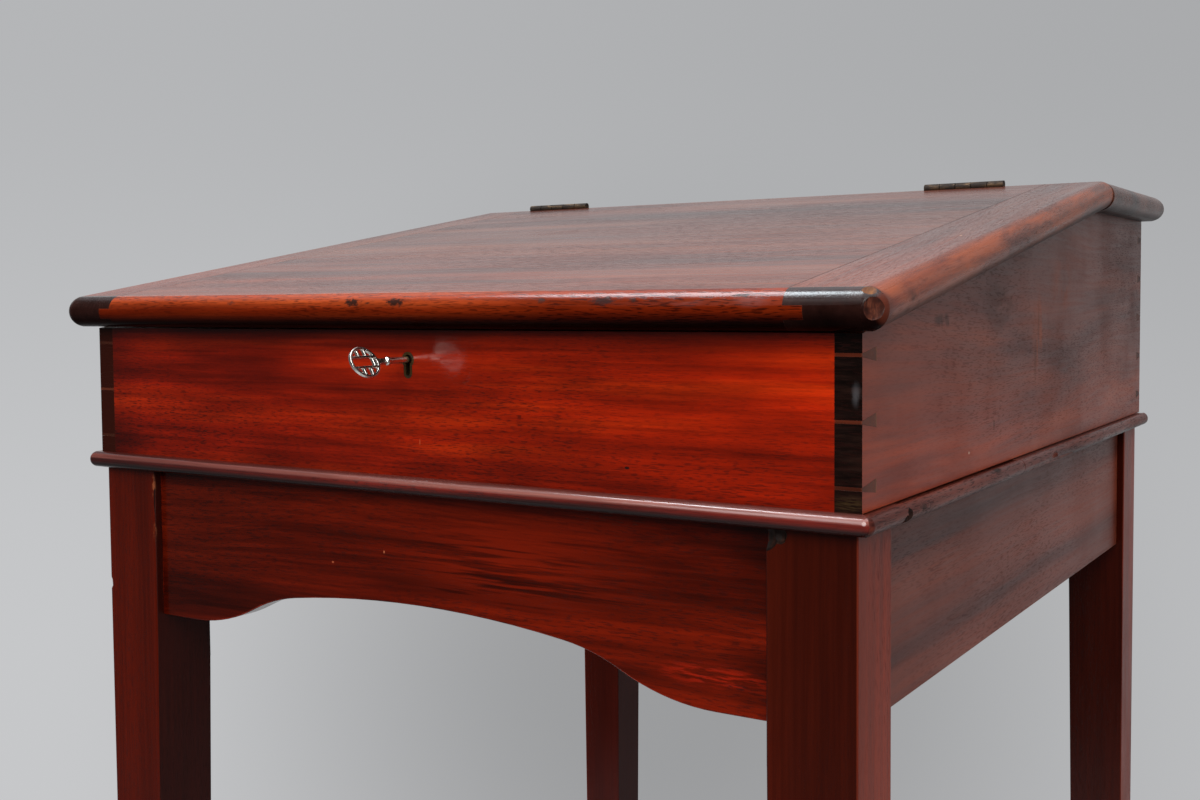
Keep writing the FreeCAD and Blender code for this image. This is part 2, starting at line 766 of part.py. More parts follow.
lid_end = s.slope_run - s.joint_gap / 2
lid_back_low = s.derive("lid_back_low", lid_end / lid_cos)
lid_back_high = s.derive("lid_back_high", (lid_end + s.lid_thick * lid_sin) / lid_cos)
lid_half = s.derive("lid_half", half + s.lid_side_over)
seam = s.derive("seam", lid_half - s.cleat_width)
nose_y = s.lid_thick / 2 - s.lid_front_over
lid_section = [
    (nose_y, 0),
    (lid_back_low, 0),
    (lid_back_high, s.lid_thick),
    (nose_y, s.lid_thick, (nose_y, s.lid_thick / 2, 1)),
]
tongue_low = s.lid_thick * TONGUE_LOW_SHARE
tongue_high = s.lid_thick * TONGUE_HIGH_SHARE
lid_panel = make_body("lid_panel", LID, LID_TURN)
tongue_end = s.derive("tongue_end", seam + s.tongue_long)
add(lid_panel, "board", "YZ_Plane", [lid_section], -tongue_end, tongue_end)
for word, side in (("left", -1), ("right", 1)):
    low, high = span(side, seam, tongue_end + s.overrun)
    rabbets = [
        box(low, high, -s.overrun, tongue_low),
        box(low, high, tongue_high, s.lid_thick + s.overrun),
    ]
    cut(lid_panel, f"rabbets_{word}", "XZ_Plane", rabbets,
        -s.lid_front_over - s.overrun, lid_back_high + s.overrun)
    cleat = make_body(f"lid_cleat_{word}", LID, LID_TURN)
    low, high = span(side, seam + s.glue_gap, lid_half)
    add(cleat, "board", "YZ_Plane", [lid_section], low, high)
    waste = nose_waste(side * lid_half, dim(0), s.lid_thick, -side)
    cut(cleat, "end_nose", "XZ_Plane", [waste],
        -s.lid_front_over - s.overrun, lid_back_high + s.overrun)
    low, high = span(side, seam - s.overrun, tongue_end + s.glue_gap)
    groove = box(low, high, tongue_low - s.glue_gap, tongue_high + s.glue_gap)
    cut(cleat, "groove", "XZ_Plane", [groove],
        -s.lid_front_over - s.overrun, lid_back_high + s.overrun)

leaf_near = s.slope_run - leaf_far - s.glue_gap
joint_v, joint_w = in_lid(dim(s.slope_run), hinge_z)
for word, middle in HINGES:
    reach = s.hinge_long / 2 + s.glue_gap
    seat = [
        in_lid(leaf_near, leaf_low),
        in_lid(dim(s.slope_run), leaf_low),
        in_lid(dim(s.slope_run), hinge_z),
        in_lid(leaf_near, hinge_z),
    ]
    cut(lid_panel, f"leaf_seat_{word}", "YZ_Plane", [seat], middle - reach, middle + reach)
    reach = s.hinge_long / 2 + s.free_gap
    groove = (joint_v, joint_w, s.barrel_radius + s.free_gap)
    cut(lid_panel, f"barrel_groove_{word}", "YZ_Plane", [groove], middle - reach, middle + reach)
    holes = leaf_screw_circles(middle, -s.leaf_screw_drop, s.screw_radius + s.glue_gap)
    drilled = cut(lid_panel, f"screw_holes_{word}", "XZ_Plane", holes, dim(0),
                  2 * (leaf_far + s.screw_long + s.glue_gap))
    tilt = drilled.Profile[0]
    tilt.AttachmentOffset = FreeCAD.Placement(
        FreeCAD.Vector(), FreeCAD.Rotation(FreeCAD.Vector(1, 0, 0), -LID_TURN[1].value))
    tilt.setExpression("AttachmentOffset.Rotation.Angle", (-LID_TURN[1]).text)
    tilt.setExpression("AttachmentOffset.Base.y", joint_w.text)
    tilt.setExpression("AttachmentOffset.Base.z", (-joint_v).text)


# the hinges: a leaf let into the ledge, a leaf let into the lid, and a pin
def hinge_frame(middle):
    return (middle, front_y + s.slope_run, s.stand_height + hinge_z)


def knuckle_range(number):
    pitch = s.hinge_long / KNUCKLE_COUNT
    start = pitch * number - s.hinge_long / 2
    return start, start + pitch


sink_angle = angle_of((s.screw_head - s.screw_radius) / s.leaf_thick)


def make_leaf(label, middle, sign, own):
    """A leaf on one side of the joint; own lists its knuckles along the pin."""
    body = make_body(label, hinge_frame(middle))
    near = s.leaf_gap / 2
    y0, y1 = span(sign, near, leaf_far)
    half_long = s.hinge_long / 2
    add(body, "plate", "YZ_Plane", [box(y0, y1, -s.leaf_drop, 0)], -half_long, half_long)
    others = [number for number in range(KNUCKLE_COUNT) if number not in own]
    hollow = (0, 0, s.barrel_radius + s.free_gap)
    for number in others:
        low, high = knuckle_range(number)
        cut(body, f"notch_{number}", "YZ_Plane", [hollow], low - s.free_gap, high + s.free_gap)
    barrel = (0, 0, s.barrel_radius)
    for number in own:
        low, high = knuckle_range(number)
        low = low + s.free_gap if number else low
        high = high - s.free_gap if number < KNUCKLE_COUNT - 1 else high
        add(body, f"knuckle_{number}", "YZ_Plane", [barrel], low, high)
    bore = (0, 0, s.pin_radius + s.run_gap)
    cut(body, "bore", "YZ_Plane", [bore], -half_long - s.overrun, half_long + s.overrun)
    seats = leaf_screw_circles(dim(0), -s.leaf_screw_drop, s.screw_head + s.glue_gap)
    sink("Pocket", body, "screw_seats", "XZ_Plane", seats, sign * near, s.leaf_thick,
         sink_angle, sign < 0)


fixed_own = [number for number in range(KNUCKLE_COUNT) if number % 2 == 0]
moving_own = [number for number in range(KNUCKLE_COUNT) if number % 2]
for word, middle in HINGES:
    make_leaf(f"hinge_{word}_fixed_leaf", middle, 1, fixed_own)
    make_leaf(f"hinge_{word}_moving_leaf", middle, -1, moving_own)
    pivot = make_body(f"hinge_{word}_pin", hinge_frame(middle))
    add(pivot, "pin", "YZ_Plane", [(0, 0, s.pin_radius)], -s.hinge_long / 2, s.hinge_long / 2)


def make_screws(label, base, turn, role, places, level, head_thick, angle, sign):
    """A set of like screws: tapering heads from one level and plain shanks."""
    body = make_body(label, base, turn)
    body.AllowCompound = True
    heads = [(x, y, s.screw_head) for x, y in places]
    shanks = [(x, y, s.screw_radius) for x, y in places]
    level = dim(level)
    reverse = sign > 0 if role == "XZ_Plane" else sign < 0
    sink("Pad", body, "heads", role, heads, level, head_thick, angle, reverse)
    start = level + sign * head_thick / 2
    stop = level + sign * (head_thick + s.screw_long)
    low, high = (start, stop) if sign > 0 else (stop, start)
    add(body, "shanks", role, shanks, low, high)


JOINT = (0, front_y + s.slope_run, s.stand_height + hinge_z)
leaf_places = []
for word, middle in HINGES:
    leaf_places += [place[:2] for place in leaf_screw_circles(middle, -s.leaf_screw_drop, 0)]
make_screws("hinge_screws_ledge", JOINT, None, "XZ_Plane", leaf_places,
            s.leaf_gap / 2, s.leaf_thick, sink_angle, 1)
make_screws("hinge_screws_lid", JOINT, None, "XZ_Plane", leaf_places,
            -s.leaf_gap / 2, s.leaf_thick, sink_angle, -1)

# the lock on the inner face of the front board
lock_plate = make_body("lock_plate", LOCK)
add(lock_plate, "plate", "XZ_Plane",
    [box(-s.lock_plate_half, s.lock_plate_half, -s.lock_plate_low, lock_top)],
    0, s.lock_plate_thick)
cut(lock_plate, "keyhole", "XZ_Plane", [keyhole(*key_room, dim(0))],
    -s.overrun, s.lock_plate_thick + s.overrun)
cut(lock_plate, "screw_holes", "XZ_Plane",
    lock_screw_circles(s.screw_radius + s.glue_gap, dim(0)),
    -s.overrun, s.lock_plate_thick + s.overrun)

lock_screw_places = [place[:2] for place in lock_screw_circles(0, dim(0))]
head_angle = angle_of((s.screw_head - s.screw_radius) / (2 * s.lock_head_thick))
lock_screws = make_body("lock_screws", LOCK)
lock_screws.AllowCompound = True
sink("Pad", lock_screws, "heads", "XZ_Plane", [(x, z, s.screw_head) for x, z in lock_screw_places],
     s.lock_plate_thick, s.lock_head_thick, head_angle, True)
add(lock_screws, "shanks", "XZ_Plane", [(x, z, s.screw_radius) for x, z in lock_screw_places],
    -s.screw_long, s.lock_plate_thick + s.lock_head_thick / 2)

lock_case = make_body("lock_case", LOCK)
case_back = s.case_inside + s.case_wall
add(lock_case, "block", "XZ_Plane", [box(-s.case_half, s.case_half, -s.case_low, lock_top)],
    s.lock_plate_thick, case_back)
hollow_half = s.case_half - s.case_wall
cut(lock_case, "inside", "XZ_Plane",
    [box(-hollow_half, hollow_half, s.case_wall - s.case_low, lock_top - s.case_wall)],
    s.lock_plate_thick - s.overrun, s.case_inside)
slot_half = s.staple_half + 2 * s.free_gap
cut(lock_case, "staple_slot", "XY_Plane",
    [box(-slot_half, slot_half, s.lock_plate_thick - s.overrun, s.case_inside)],
    lock_top - s.overrun, lock_top + s.overrun)
add(lock_case, "drill_pin", "XZ_Plane", [(0, 0, s.drill_radius)],
    s.case_inside - s.drill_long, s.case_inside + s.case_wall / 2)
guide_front = s.bolt_middle + s.bolt_thick / 2 + s.run_gap
add(lock_case, "guide", "XZ_Plane",
    [box(s.guide_near, s.guide_far, -s.bolt_bar_low, s.finger_high)],
    guide_front, s.case_inside + s.case_wall / 2)

lock_bolt = make_body("lock_bolt", LOCK)
bolt_outline = [
    (-s.bolt_left, -s.bolt_bar_low),
    (s.bolt_right, -s.bolt_bar_low),
    (s.bolt_right, s.finger_high),
    (s.finger_tip, s.finger_high),
    (s.finger_tip, s.finger_low),
    (s.bolt_right - s.bolt_arm, s.finger_low),
    (s.bolt_right - s.bolt_arm, -s.bolt_bar_high),
    (s.notch_centre + s.notch_half, -s.bolt_bar_high),
    (s.notch_centre + s.notch_half, -s.notch_low),
    (s.notch_centre - s.notch_half, -s.notch_low),
    (s.notch_centre - s.notch_half, -s.bolt_bar_high),
    (-s.bolt_left, -s.bolt_bar_high),
]
add(lock_bolt, "plate", "XZ_Plane", [bolt_outline],
    s.bolt_middle - s.bolt_thick / 2, s.bolt_middle + s.bolt_thick / 2)

# the link plate under the lid, whose staple the bolt passes through
finger_middle = key_height + (s.finger_low + s.finger_high) / 2
eye_y, eye_z = in_lid(s.front_thick + s.bolt_middle, finger_middle)
eye_v = s.derive("eye_v", eye_y)
eye_w = s.derive("eye_w", eye_z)
link_plate = make_body("link_plate", LID, LID_TURN)
add(link_plate, "plate", "XY_Plane",
    [box(-s.link_half, s.link_half, eye_v - s.link_reach, eye_v + s.link_reach)],
    -s.link_thick, 0)
blade_half = s.eye_width / 2 + s.staple_wall
blade_low = eye_w - s.eye_height / 2 - s.staple_wall
blade = box(eye_v - blade_half, eye_v + blade_half, blade_low, -s.link_thick / 2)
add(link_plate, "staple", "YZ_Plane", [blade], -s.staple_half, s.staple_half)
eye = box(eye_v - s.eye_width / 2, eye_v + s.eye_width / 2,
          eye_w - s.eye_height / 2, eye_w + s.eye_height / 2)
cut(link_plate, "eye", "YZ_Plane", [eye], -s.staple_half - s.overrun, s.staple_half + s.overrun)
link_places = [(-s.link_screw_run, eye_v), (s.link_screw_run, eye_v)]
link_angle = angle_of((s.screw_head - s.screw_radius) / s.link_thick)
sink("Pocket", link_plate, "screw_seats", "XY_Plane",
     [(x, y, s.screw_head + s.glue_gap) for x, y in link_places],
     -s.link_thick, s.link_thick, link_angle, True)
make_screws("link_plate_screws", LID, LID_TURN, "XY_Plane", link_places,
            -s.link_thick, s.link_thick, link_angle, 1)
cut(lid_panel, "link_screw_holes", "XY_Plane",
    [(x, y, s.screw_radius + s.glue_gap) for x, y in link_places],
    -s.overrun, s.screw_long + s.glue_gap)


# the key: a pierced oval bow, a beaded neck, a hollow shank and a bit
def oval(middle, half_long, half_wide, end_radius):
    """An oval of four arcs whose ends have the given radius."""
    lift = half_long - end_radius
    edge = half_wide - end_radius
    side_centre = (lift * lift - edge * edge) / (2 * edge)
    reach = root(lift * lift + side_centre * side_centre)
    meet_y = lift + end_radius * lift / reach
    meet_z = end_radius * side_centre / reach
    return [
        (middle + meet_y, -meet_z, (middle + lift, 0, 1)),
        (middle + meet_y, meet_z, (middle, -side_centre, 1)),
        (middle - meet_y, meet_z, (middle - lift, 0, 1)),
        (middle - meet_y, -meet_z, (middle, side_centre, 1)),
    ]


key = make_body("key", KEY, KEY_TURN)
bow_half = s.bow_long / 2
bow_middle = bow_half - s.key_reach
bow_flat = s.bow_thick / 2
wire_half = s.bow_wire / 2
ring = oval(bow_middle, bow_half, s.bow_wide / 2, s.bow_end_radius)
opening = oval(bow_middle, bow_half - s.bow_wire, s.bow_wide / 2 - s.bow_wire,
               s.bow_end_radius - s.bow_wire)
add(key, "bow", "YZ_Plane", [ring, opening], -bow_flat, bow_flat)
bar_reach = bow_half - s.bow_wire
bars = []
for side in (-1, 1):
    bars.append(box(bow_middle - bar_reach, bow_middle + bar_reach,
                    side * s.bow_bar_run - wire_half, side * s.bow_bar_run + wire_half))
add(key, "bars", "YZ_Plane", bars, -bow_flat, bow_flat)
rung_top = s.bow_wide / 2 - wire_half
rungs = []
for step in (-1, 1):
    place = bow_middle + step * s.bow_rung_step
    for side in (-1, 1):
        low, high = span(side, s.bow_bar_run, rung_top)
        rungs.append(box(place - wire_half, place + wire_half, low, high))
cross = bow_middle + bow_half - s.bow_cross_run
rungs.append(box(cross - wire_half, cross + wire_half, -s.bow_bar_run, s.bow_bar_run))
add(key, "rungs", "YZ_Plane", rungs, -bow_flat, bow_flat)
neck_start = bow_middle + bow_half - s.bow_wire
bead_start = -s.bead_run - s.bead_long
add(key, "neck", "YZ_Plane", [box(neck_start, -s.bead_run, -s.neck_half, s.neck_half)],
    -bow_flat, bow_flat)
key_end = s.front_thick + s.key_tip
slant = s.bead_long / 4
stem = [
    (0, bead_start),
    (s.shank_radius, bead_start),
    (s.bead_radius, bead_start + slant),
    (s.bead_radius, -s.bead_run - slant),
    (s.shank_radius, -s.bead_run),
    (s.shank_radius, key_end),
    (0, key_end),
]
stem_sketch = make_sketch(key, "stem_outline", "XY_Plane", [stem], dim(0))
stem_turned = key.newObject("PartDesign::Revolution", "stem")
stem_turned.Profile = stem_sketch
stem_turned.ReferenceAxis = (stem_sketch, ["V_Axis"])
stem_turned.Angle = FULL_TURN
key.Tip = stem_turned
bit_middle = s.front_thick + s.bolt_middle
bit = box(bit_middle - s.bit_long / 2, bit_middle + s.bit_long / 2,
          -s.bit_reach, -s.shank_radius / 2)
add(key, "bit", "YZ_Plane", [bit], -s.bit_thick / 2, s.bit_thick / 2)
bore_start = s.front_thick + s.case_inside - s.drill_long - s.free_gap
cut(key, "bore", "XZ_Plane", [(0, 0, s.drill_radius + s.run_gap)], bore_start,
    key_end + s.overrun)

document.recompute()
for item in document.Objects:
    if "Invalid" in item.State or "Error" in item.State:
        raise RuntimeError(f"{item.Label} failed: {item.State}")
os.makedirs("parts", exist_ok=True)
for body in nodes:
    if body.Shape.isNull() or not body.Shape.isValid():
        raise RuntimeError(f"{body.Label} has no sound shape")
    body.Shape.exportStep(f"parts/{body.Label}.step")
print(len(nodes), "pieces")
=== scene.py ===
import bpy
import json
import math
from mathutils import Euler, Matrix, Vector

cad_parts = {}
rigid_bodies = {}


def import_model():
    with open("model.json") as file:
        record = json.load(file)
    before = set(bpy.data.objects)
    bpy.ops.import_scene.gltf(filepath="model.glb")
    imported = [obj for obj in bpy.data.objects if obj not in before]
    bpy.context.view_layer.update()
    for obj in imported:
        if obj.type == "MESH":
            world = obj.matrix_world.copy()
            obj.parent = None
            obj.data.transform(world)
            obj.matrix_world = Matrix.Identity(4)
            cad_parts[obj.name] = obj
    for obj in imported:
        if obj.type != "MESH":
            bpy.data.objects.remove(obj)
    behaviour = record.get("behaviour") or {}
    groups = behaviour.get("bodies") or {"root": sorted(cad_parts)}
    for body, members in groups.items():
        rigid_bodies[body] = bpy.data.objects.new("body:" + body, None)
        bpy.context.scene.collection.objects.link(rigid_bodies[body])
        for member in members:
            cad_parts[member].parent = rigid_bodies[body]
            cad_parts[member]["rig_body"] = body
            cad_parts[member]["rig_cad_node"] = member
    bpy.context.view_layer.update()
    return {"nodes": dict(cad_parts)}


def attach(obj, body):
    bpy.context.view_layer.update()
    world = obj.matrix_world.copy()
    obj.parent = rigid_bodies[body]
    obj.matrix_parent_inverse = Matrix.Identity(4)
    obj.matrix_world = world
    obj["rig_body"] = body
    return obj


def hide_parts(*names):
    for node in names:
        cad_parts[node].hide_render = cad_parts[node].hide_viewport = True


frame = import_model()
nodes = frame["nodes"]
scene = bpy.context.scene
scene.view_settings.view_transform = "Standard"
print("frame loaded:", len(nodes), "nodes")

# places that several pieces share, in metres
desk = {"frontY": -0.3685, "lidPivot": (0.0, -0.3685, 1.0266), "lidTilt": math.atan(0.17248)}


# helpers that lay out material nodes
def put(tree, kind, inputs=None, **settings):
    node = tree.nodes.new("ShaderNode" + kind)
    for key, value in settings.items():
        setattr(node, key, value)
    for key, value in (inputs or {}).items():
        socket = node.inputs[key]
        if isinstance(value, bpy.types.NodeSocket):
            tree.links.new(value, socket)
        else:
            socket.default_value = value
    return node


def calc(tree, job, a, b=0.0, c=0.0, clamp=False):
    return put(tree, "Math", {0: a, 1: b, 2: c}, operation=job, use_clamp=clamp).outputs[0]


def vec(tree, job, a, b=(0.0, 0.0, 0.0)):
    node = put(tree, "VectorMath", {0: a, 1: b}, operation=job)
    return node.outputs[1] if job in ("LENGTH", "DISTANCE", "DOT_PRODUCT") else node.outputs[0]


def tint(tree, share, a, b):
    # sockets 6, 7 and 2 are the colours of a Mix node
    return put(tree, "Mix", {0: share, 6: a, 7: b}, data_type="RGBA", clamp_factor=True).outputs[2]


def grey(tree, value):
    return put(tree, "CombineXYZ", {0: value, 1: value, 2: value}).outputs[0]


def ease(tree, value, low, high, start=0.0, end=1.0):
    return put(tree, "MapRange", {"Value": value, "From Min": low, "From Max": high, "To Min": start,
                                  "To Max": end}, interpolation_type="SMOOTHSTEP").outputs[0]


def cloud(tree, place, stretch, detail=2.0, rough=0.5, warp=0.0):
    spread = vec(tree, "MULTIPLY", place, stretch)
    return put(tree, "TexNoise", {"Vector": spread, "Scale": 1.0, "Detail": detail,
                                  "Roughness": rough, "Distortion": warp})


# detail and roughness of each noise
noise = {"streak": (4.0, 0.58), "fine": (3.0, 0.6), "tear": (3.0, 0.65), "vein": (2.0, 0.6), "pore": (1.0, 0.4),
         "crowd": (1.0, 0.5), "rub": (4.0, 0.6), "scratch": (0.0, 0.5), "stain": (4.0, 0.62), "mottle": (3.0, 0.5)}


def ramp(tree, value, stops):
    node = put(tree, "ValToRGB", {0: value})
    spots = node.color_ramp.elements
    while len(spots) < len(stops):
        spots.new(0.5)
    for spot, (where, colour) in zip(spots, stops):
        spot.position = where
        spot.color = (*colour, 1.0)
    return node.outputs[0]


def full(colour):
    return (*colour, 1.0)


grainTurn = {"X": (0.0, 0.0, 0.0), "Y": (0.0, 0.0, -math.pi / 2), "Z": (0.0, math.pi / 2, 0.0),
             "lidX": (-desk["lidTilt"], 0.0, 0.0), "lidY": (-desk["lidTilt"], 0.0, -math.pi / 2)}


markHabit = {"core": 0.35, "tear": (2.2, 2.2, 2.2), "speck": (500, 500, 500), "speckRise": 0.2,
             "speckSoft": (0.12, 0.05)}
middle = (0.5, 0.5, 0.5)  # what a noise colour is on average


def spotShare(tree, place, mark):
    # how strongly a mark covers this point: a soft ellipsoid, torn at its edge or broken up by noise
    offset = vec(tree, "DIVIDE", vec(tree, "SUBTRACT", place, mark["at"]), mark["size"])
    if "ragged" in mark:
        tear = cloud(tree, place, mark["ragged"], *noise["tear"]).outputs[1]
        tear = vec(tree, "MULTIPLY", vec(tree, "SUBTRACT", tear, middle), markHabit["tear"])
        offset = vec(tree, "ADD", offset, tear)
    away = vec(tree, "LENGTH", offset)
    cover = ease(tree, away, mark.get("core", markHabit["core"]), 1.0, 1.0, 0.0)
    if mark.get("broken", 0.0) > 0:
        speck = cloud(tree, place, mark.get("speck", markHabit["speck"]), *noise["fine"]).outputs[0]
        half = middle[0] + markHabit["speckRise"] * mark["broken"]
        speck = ease(tree, speck, half - markHabit["speckSoft"][0], half + markHabit["speckSoft"][1])
        cover = calc(tree, "MULTIPLY", cover, speck)
    return calc(tree, "MULTIPLY", cover, mark["share"])


# object places turned into the lid's own: Y up the slope from its front, Z out of it
lidShift = -(Euler((-desk["lidTilt"], 0.0, 0.0)).to_matrix() @ Vector(desk["lidPivot"]))


# what all woods share: stretches of noise, the span of noise that counts (and what it turns into), strengths
habit = {
    "drift": (1.7, 6.0, 6.0), "fibreSpan": (0.25, 0.75), "blotchSpan": (0.3, 0.7),
    "vein": (2.6, 150.0, 150.0), "veinSpan": (0.54, 0.68), "veinShare": 0.3, "veinTimes": (0.30, 0.30, 0.42),
    "poreSpan": (0.53, 0.65), "poreDull": 0.12, "crowd": (3.0, 12.0, 12.0), "crowdSpan": (0.35, 0.6, 0.25, 1.0),
    "fibreDull": (0.2, 0.8, -0.05, 0.05), "rub": (9.0, 9.0, 9.0), "rubSpan": (0.4, 0.7), "rubDull": 0.06,
    "patch": (20, 20, 20), "patchStart": 0.4, "patchMore": 0.3, "patchEnd": 0.62,
    "innerSpan": (-0.5, -0.8), "innerDull": 0.3, "markDull": 0.2, "leastRough": 0.08, "ior": 1.5,
    "scratchTurn": (0.4, 0.7, 0.9), "scratch": (26.0, 1900.0, 1900.0), "scratchSpan": (0.74, 0.80),
    "scratchDull": 0.10, "fibreHigh": 0.35, "blotchHigh": 0.6, "poreDeep": 0.5, "scratchDeep": 0.15, "bump": 0.22,
    "relief": 0.0003}


def woodFinish(name, look):
    finish = bpy.data.materials.new(name)
    finish.use_nodes = True
    tree = finish.node_tree
    tree.nodes.clear()
    place = put(tree, "TexCoord").outputs["Object"]
    grain = put(tree, "Mapping", {"Vector": place, "Rotation": grainTurn[look["grain"]],
                                  "Location": look["seed"]}).outputs[0]
    # the grain wanders a little from straight
    drift = vec(tree, "SUBTRACT", cloud(tree, grain, habit["drift"]).outputs[1], middle)
    grain = vec(tree, "ADD", grain, vec(tree, "MULTIPLY", drift, (0.0, look["waver"], look["waver"])))
    broad = cloud(tree, grain, look["streak"], *noise["streak"], look.get("swirl", 0.0)).outputs[0]
    fibre = cloud(tree, grain, look["fibre"], *noise["fine"]).outputs[0]
    blotch = cloud(tree, grain, look["blotch"]).outputs[0]
    colour = ramp(tree, broad, [(look["spread"][0], look["dark"]), (0.5, look["body"]),
                                (look["spread"][1], look["light"])])
    shade = calc(tree, "MULTIPLY",
                 ease(tree, fibre, *habit["fibreSpan"], 1.0 - look["fibreShare"], 1.0 + look["fibreShare"]),
                 ease(tree, blotch, *habit["blotchSpan"], 1.0 - look["blotchShare"], 1.0 + look["blotchShare"]))
    colour = vec(tree, "MULTIPLY", colour, grey(tree, shade))
    # thin dark veins along the grain
    vein = ease(tree, cloud(tree, grain, habit["vein"], *noise["vein"]).outputs[0], *habit["veinSpan"])
    vein = calc(tree, "MULTIPLY", vein, look.get("veinShare", habit["veinShare"]))
    colour = tint(tree, vein, colour, vec(tree, "MULTIPLY", colour, habit["veinTimes"]))
    # open pores, short dark dashes along the grain that thin out in places
    dash = cloud(tree, grain, look["pore"], *noise["pore"]).outputs[0]
    crowd = ease(tree, cloud(tree, grain, habit["crowd"], *noise["crowd"]).outputs[0], *habit["crowdSpan"])
    dash = calc(tree, "MULTIPLY", ease(tree, dash, *habit["poreSpan"]), crowd)
    colour = tint(tree, calc(tree, "MULTIPLY", dash, look["poreShare"]), colour, full(look["poreTone"]))
    rough = calc(tree, "ADD", look["rough"], ease(tree, fibre, *habit["fibreDull"]))
    rough = calc(tree, "ADD", rough, calc(tree, "MULTIPLY", dash, habit["poreDull"]))
    # old polish gathered or rubbed in large soft patches
    rub = ease(tree, cloud(tree, place, habit["rub"], *noise["rub"]).outputs[0], *habit["rubSpan"])
    rough = calc(tree, "ADD", rough, calc(tree, "MULTIPLY", rub, look.get("rub", habit["rubDull"])))
    shine = look["shine"]
    for band in look.get("bands", []):  # a side, end or edge that has another tone or less shine; some bands are painted shade and painted light
        where = place
        if band.get("onLid"):
            where = put(tree, "Mapping", {"Vector": place, "Rotation": (-desk["lidTilt"], 0.0, 0.0),
                                          "Location": lidShift}).outputs[0]
        level = put(tree, "SeparateXYZ", {0: where}).outputs["XYZ".index(band["axis"])]
        if band.get("bothSides"):
            level = calc(tree, "ABSOLUTE", level)
        cover = calc(tree, "MULTIPLY", ease(tree, level, band["from"], band["to"]), band["share"])
        if band.get("patchy", 0.0) > 0:
            patch = cloud(tree, grain, band.get("patch", habit["patch"]), *noise["fine"]).outputs[0]
            start = habit["patchStart"] - habit["patchMore"] * (1 - band["patchy"])
            cover = calc(tree, "MULTIPLY", cover, ease(tree, patch, start, habit["patchEnd"]))
        if "times" in band:
            tone = vec(tree, "MULTIPLY", colour, band["times"])
        else:
            tone = vec(tree, "MULTIPLY", grey(tree, shade), band["tone"])
        colour = tint(tree, cover, colour, tone)
        rough = calc(tree, "ADD", rough, calc(tree, "MULTIPLY", cover, band.get("dull", 0.0)))
        if "matt" in band:
            left = calc(tree, "SUBTRACT", 1.0, calc(tree, "MULTIPLY", cover, band["matt"]))
            shine = calc(tree, "MULTIPLY", shine, left)
    if "innerTimes" in look:  # faces that look to the inside of the stand never had much polish, so they are rougher; their colour is also darkened as painted shade
        turned = put(tree, "SeparateXYZ", {0: put(tree, "NewGeometry").outputs["Normal"]}).outputs[0]
        half = calc(tree, "SIGN", put(tree, "SeparateXYZ", {0: place}).outputs[0])
        inner = ease(tree, calc(tree, "MULTIPLY", turned, half), *habit["innerSpan"])
        colour = tint(tree, inner, colour, vec(tree, "MULTIPLY", colour, look["innerTimes"]))
        rough = calc(tree, "ADD", rough, calc(tree, "MULTIPLY", inner, habit["innerDull"]))
    dent = 0.0
    for mark in look.get("marks", []):
        cover = spotShare(tree, place, mark)
        colour = tint(tree, cover, colour, full(mark["tone"]))
        rough = calc(tree, "ADD", rough, calc(tree, "MULTIPLY", cover, mark.get("dull", habit["markDull"])))
        dent = calc(tree, "ADD", dent, calc(tree, "MULTIPLY", cover, mark.get("deep", 0.0)))
    # fine handling scratches that cross the grain at a slant
    slant = put(tree, "Mapping", {"Vector": place, "Rotation": habit["scratchTurn"]}).outputs[0]
    scratch = cloud(tree, slant, habit["scratch"], *noise["scratch"]).outputs[0]
    scratch = calc(tree, "MULTIPLY", ease(tree, scratch, *habit["scratchSpan"]), rub)
    rough = calc(tree, "ADD", rough, calc(tree, "MULTIPLY", scratch, habit["scratchDull"]))
    height = calc(tree, "ADD", calc(tree, "MULTIPLY", fibre, habit["fibreHigh"]),
                  calc(tree, "MULTIPLY", blotch, habit["blotchHigh"]))
    height = calc(tree, "SUBTRACT", height, calc(tree, "MULTIPLY", dash, habit["poreDeep"]))
    height = calc(tree, "SUBTRACT", height, calc(tree, "MULTIPLY", scratch, habit["scratchDeep"]))
    height = calc(tree, "SUBTRACT", height, dent)
    relief = look.get("relief", habit["relief"])
    bump = put(tree, "Bump", {"Height": height, "Strength": habit["bump"], "Distance": relief})
    shader = put(tree, "BsdfPrincipled", {
        "Base Color": colour, "Roughness": calc(tree, "MAXIMUM", rough, habit["leastRough"]),
        "Normal": bump.outputs[0], "IOR": habit["ior"], "Specular IOR Level": shine})
    put(tree, "OutputMaterial", {"Surface": shader.outputs[0]})
    return finish


def shifted(look, **changes):
    other = dict(look)
    other.update(changes)
    return other


def dimmed(colour, share):
    return tuple(part * share for part in colour)


bareTone = (0.20, 0.098, 0.047)  # wood that never had polish
# bare wood dimmed to seven tenths, for the faces that look to the inside of the stand
dimmedBareTone = dimmed(bareTone, 0.7)

plainWood = {"grain": "X", "seed": (0.0, 0.0, 0.0), "waver": 0.012, "streak": (2.2, 34.0, 34.0),
             "fibre": (9.0, 330.0, 330.0), "blotch": (2.0, 5.0, 5.0), "spread": (0.34, 0.68),
             "fibreShare": 0.22, "blotchShare": 0.25, "pore": (120.0, 1150.0, 1150.0), "poreShare": 0.7,
             "poreTone": (0.02, 0.002, 0.001), "rough": 0.24, "shine": 0.5,
             "dark": (0.03, 0.004, 0.002), "body": (0.10, 0.010, 0.004), "light": (0.18, 0.02, 0.008)}

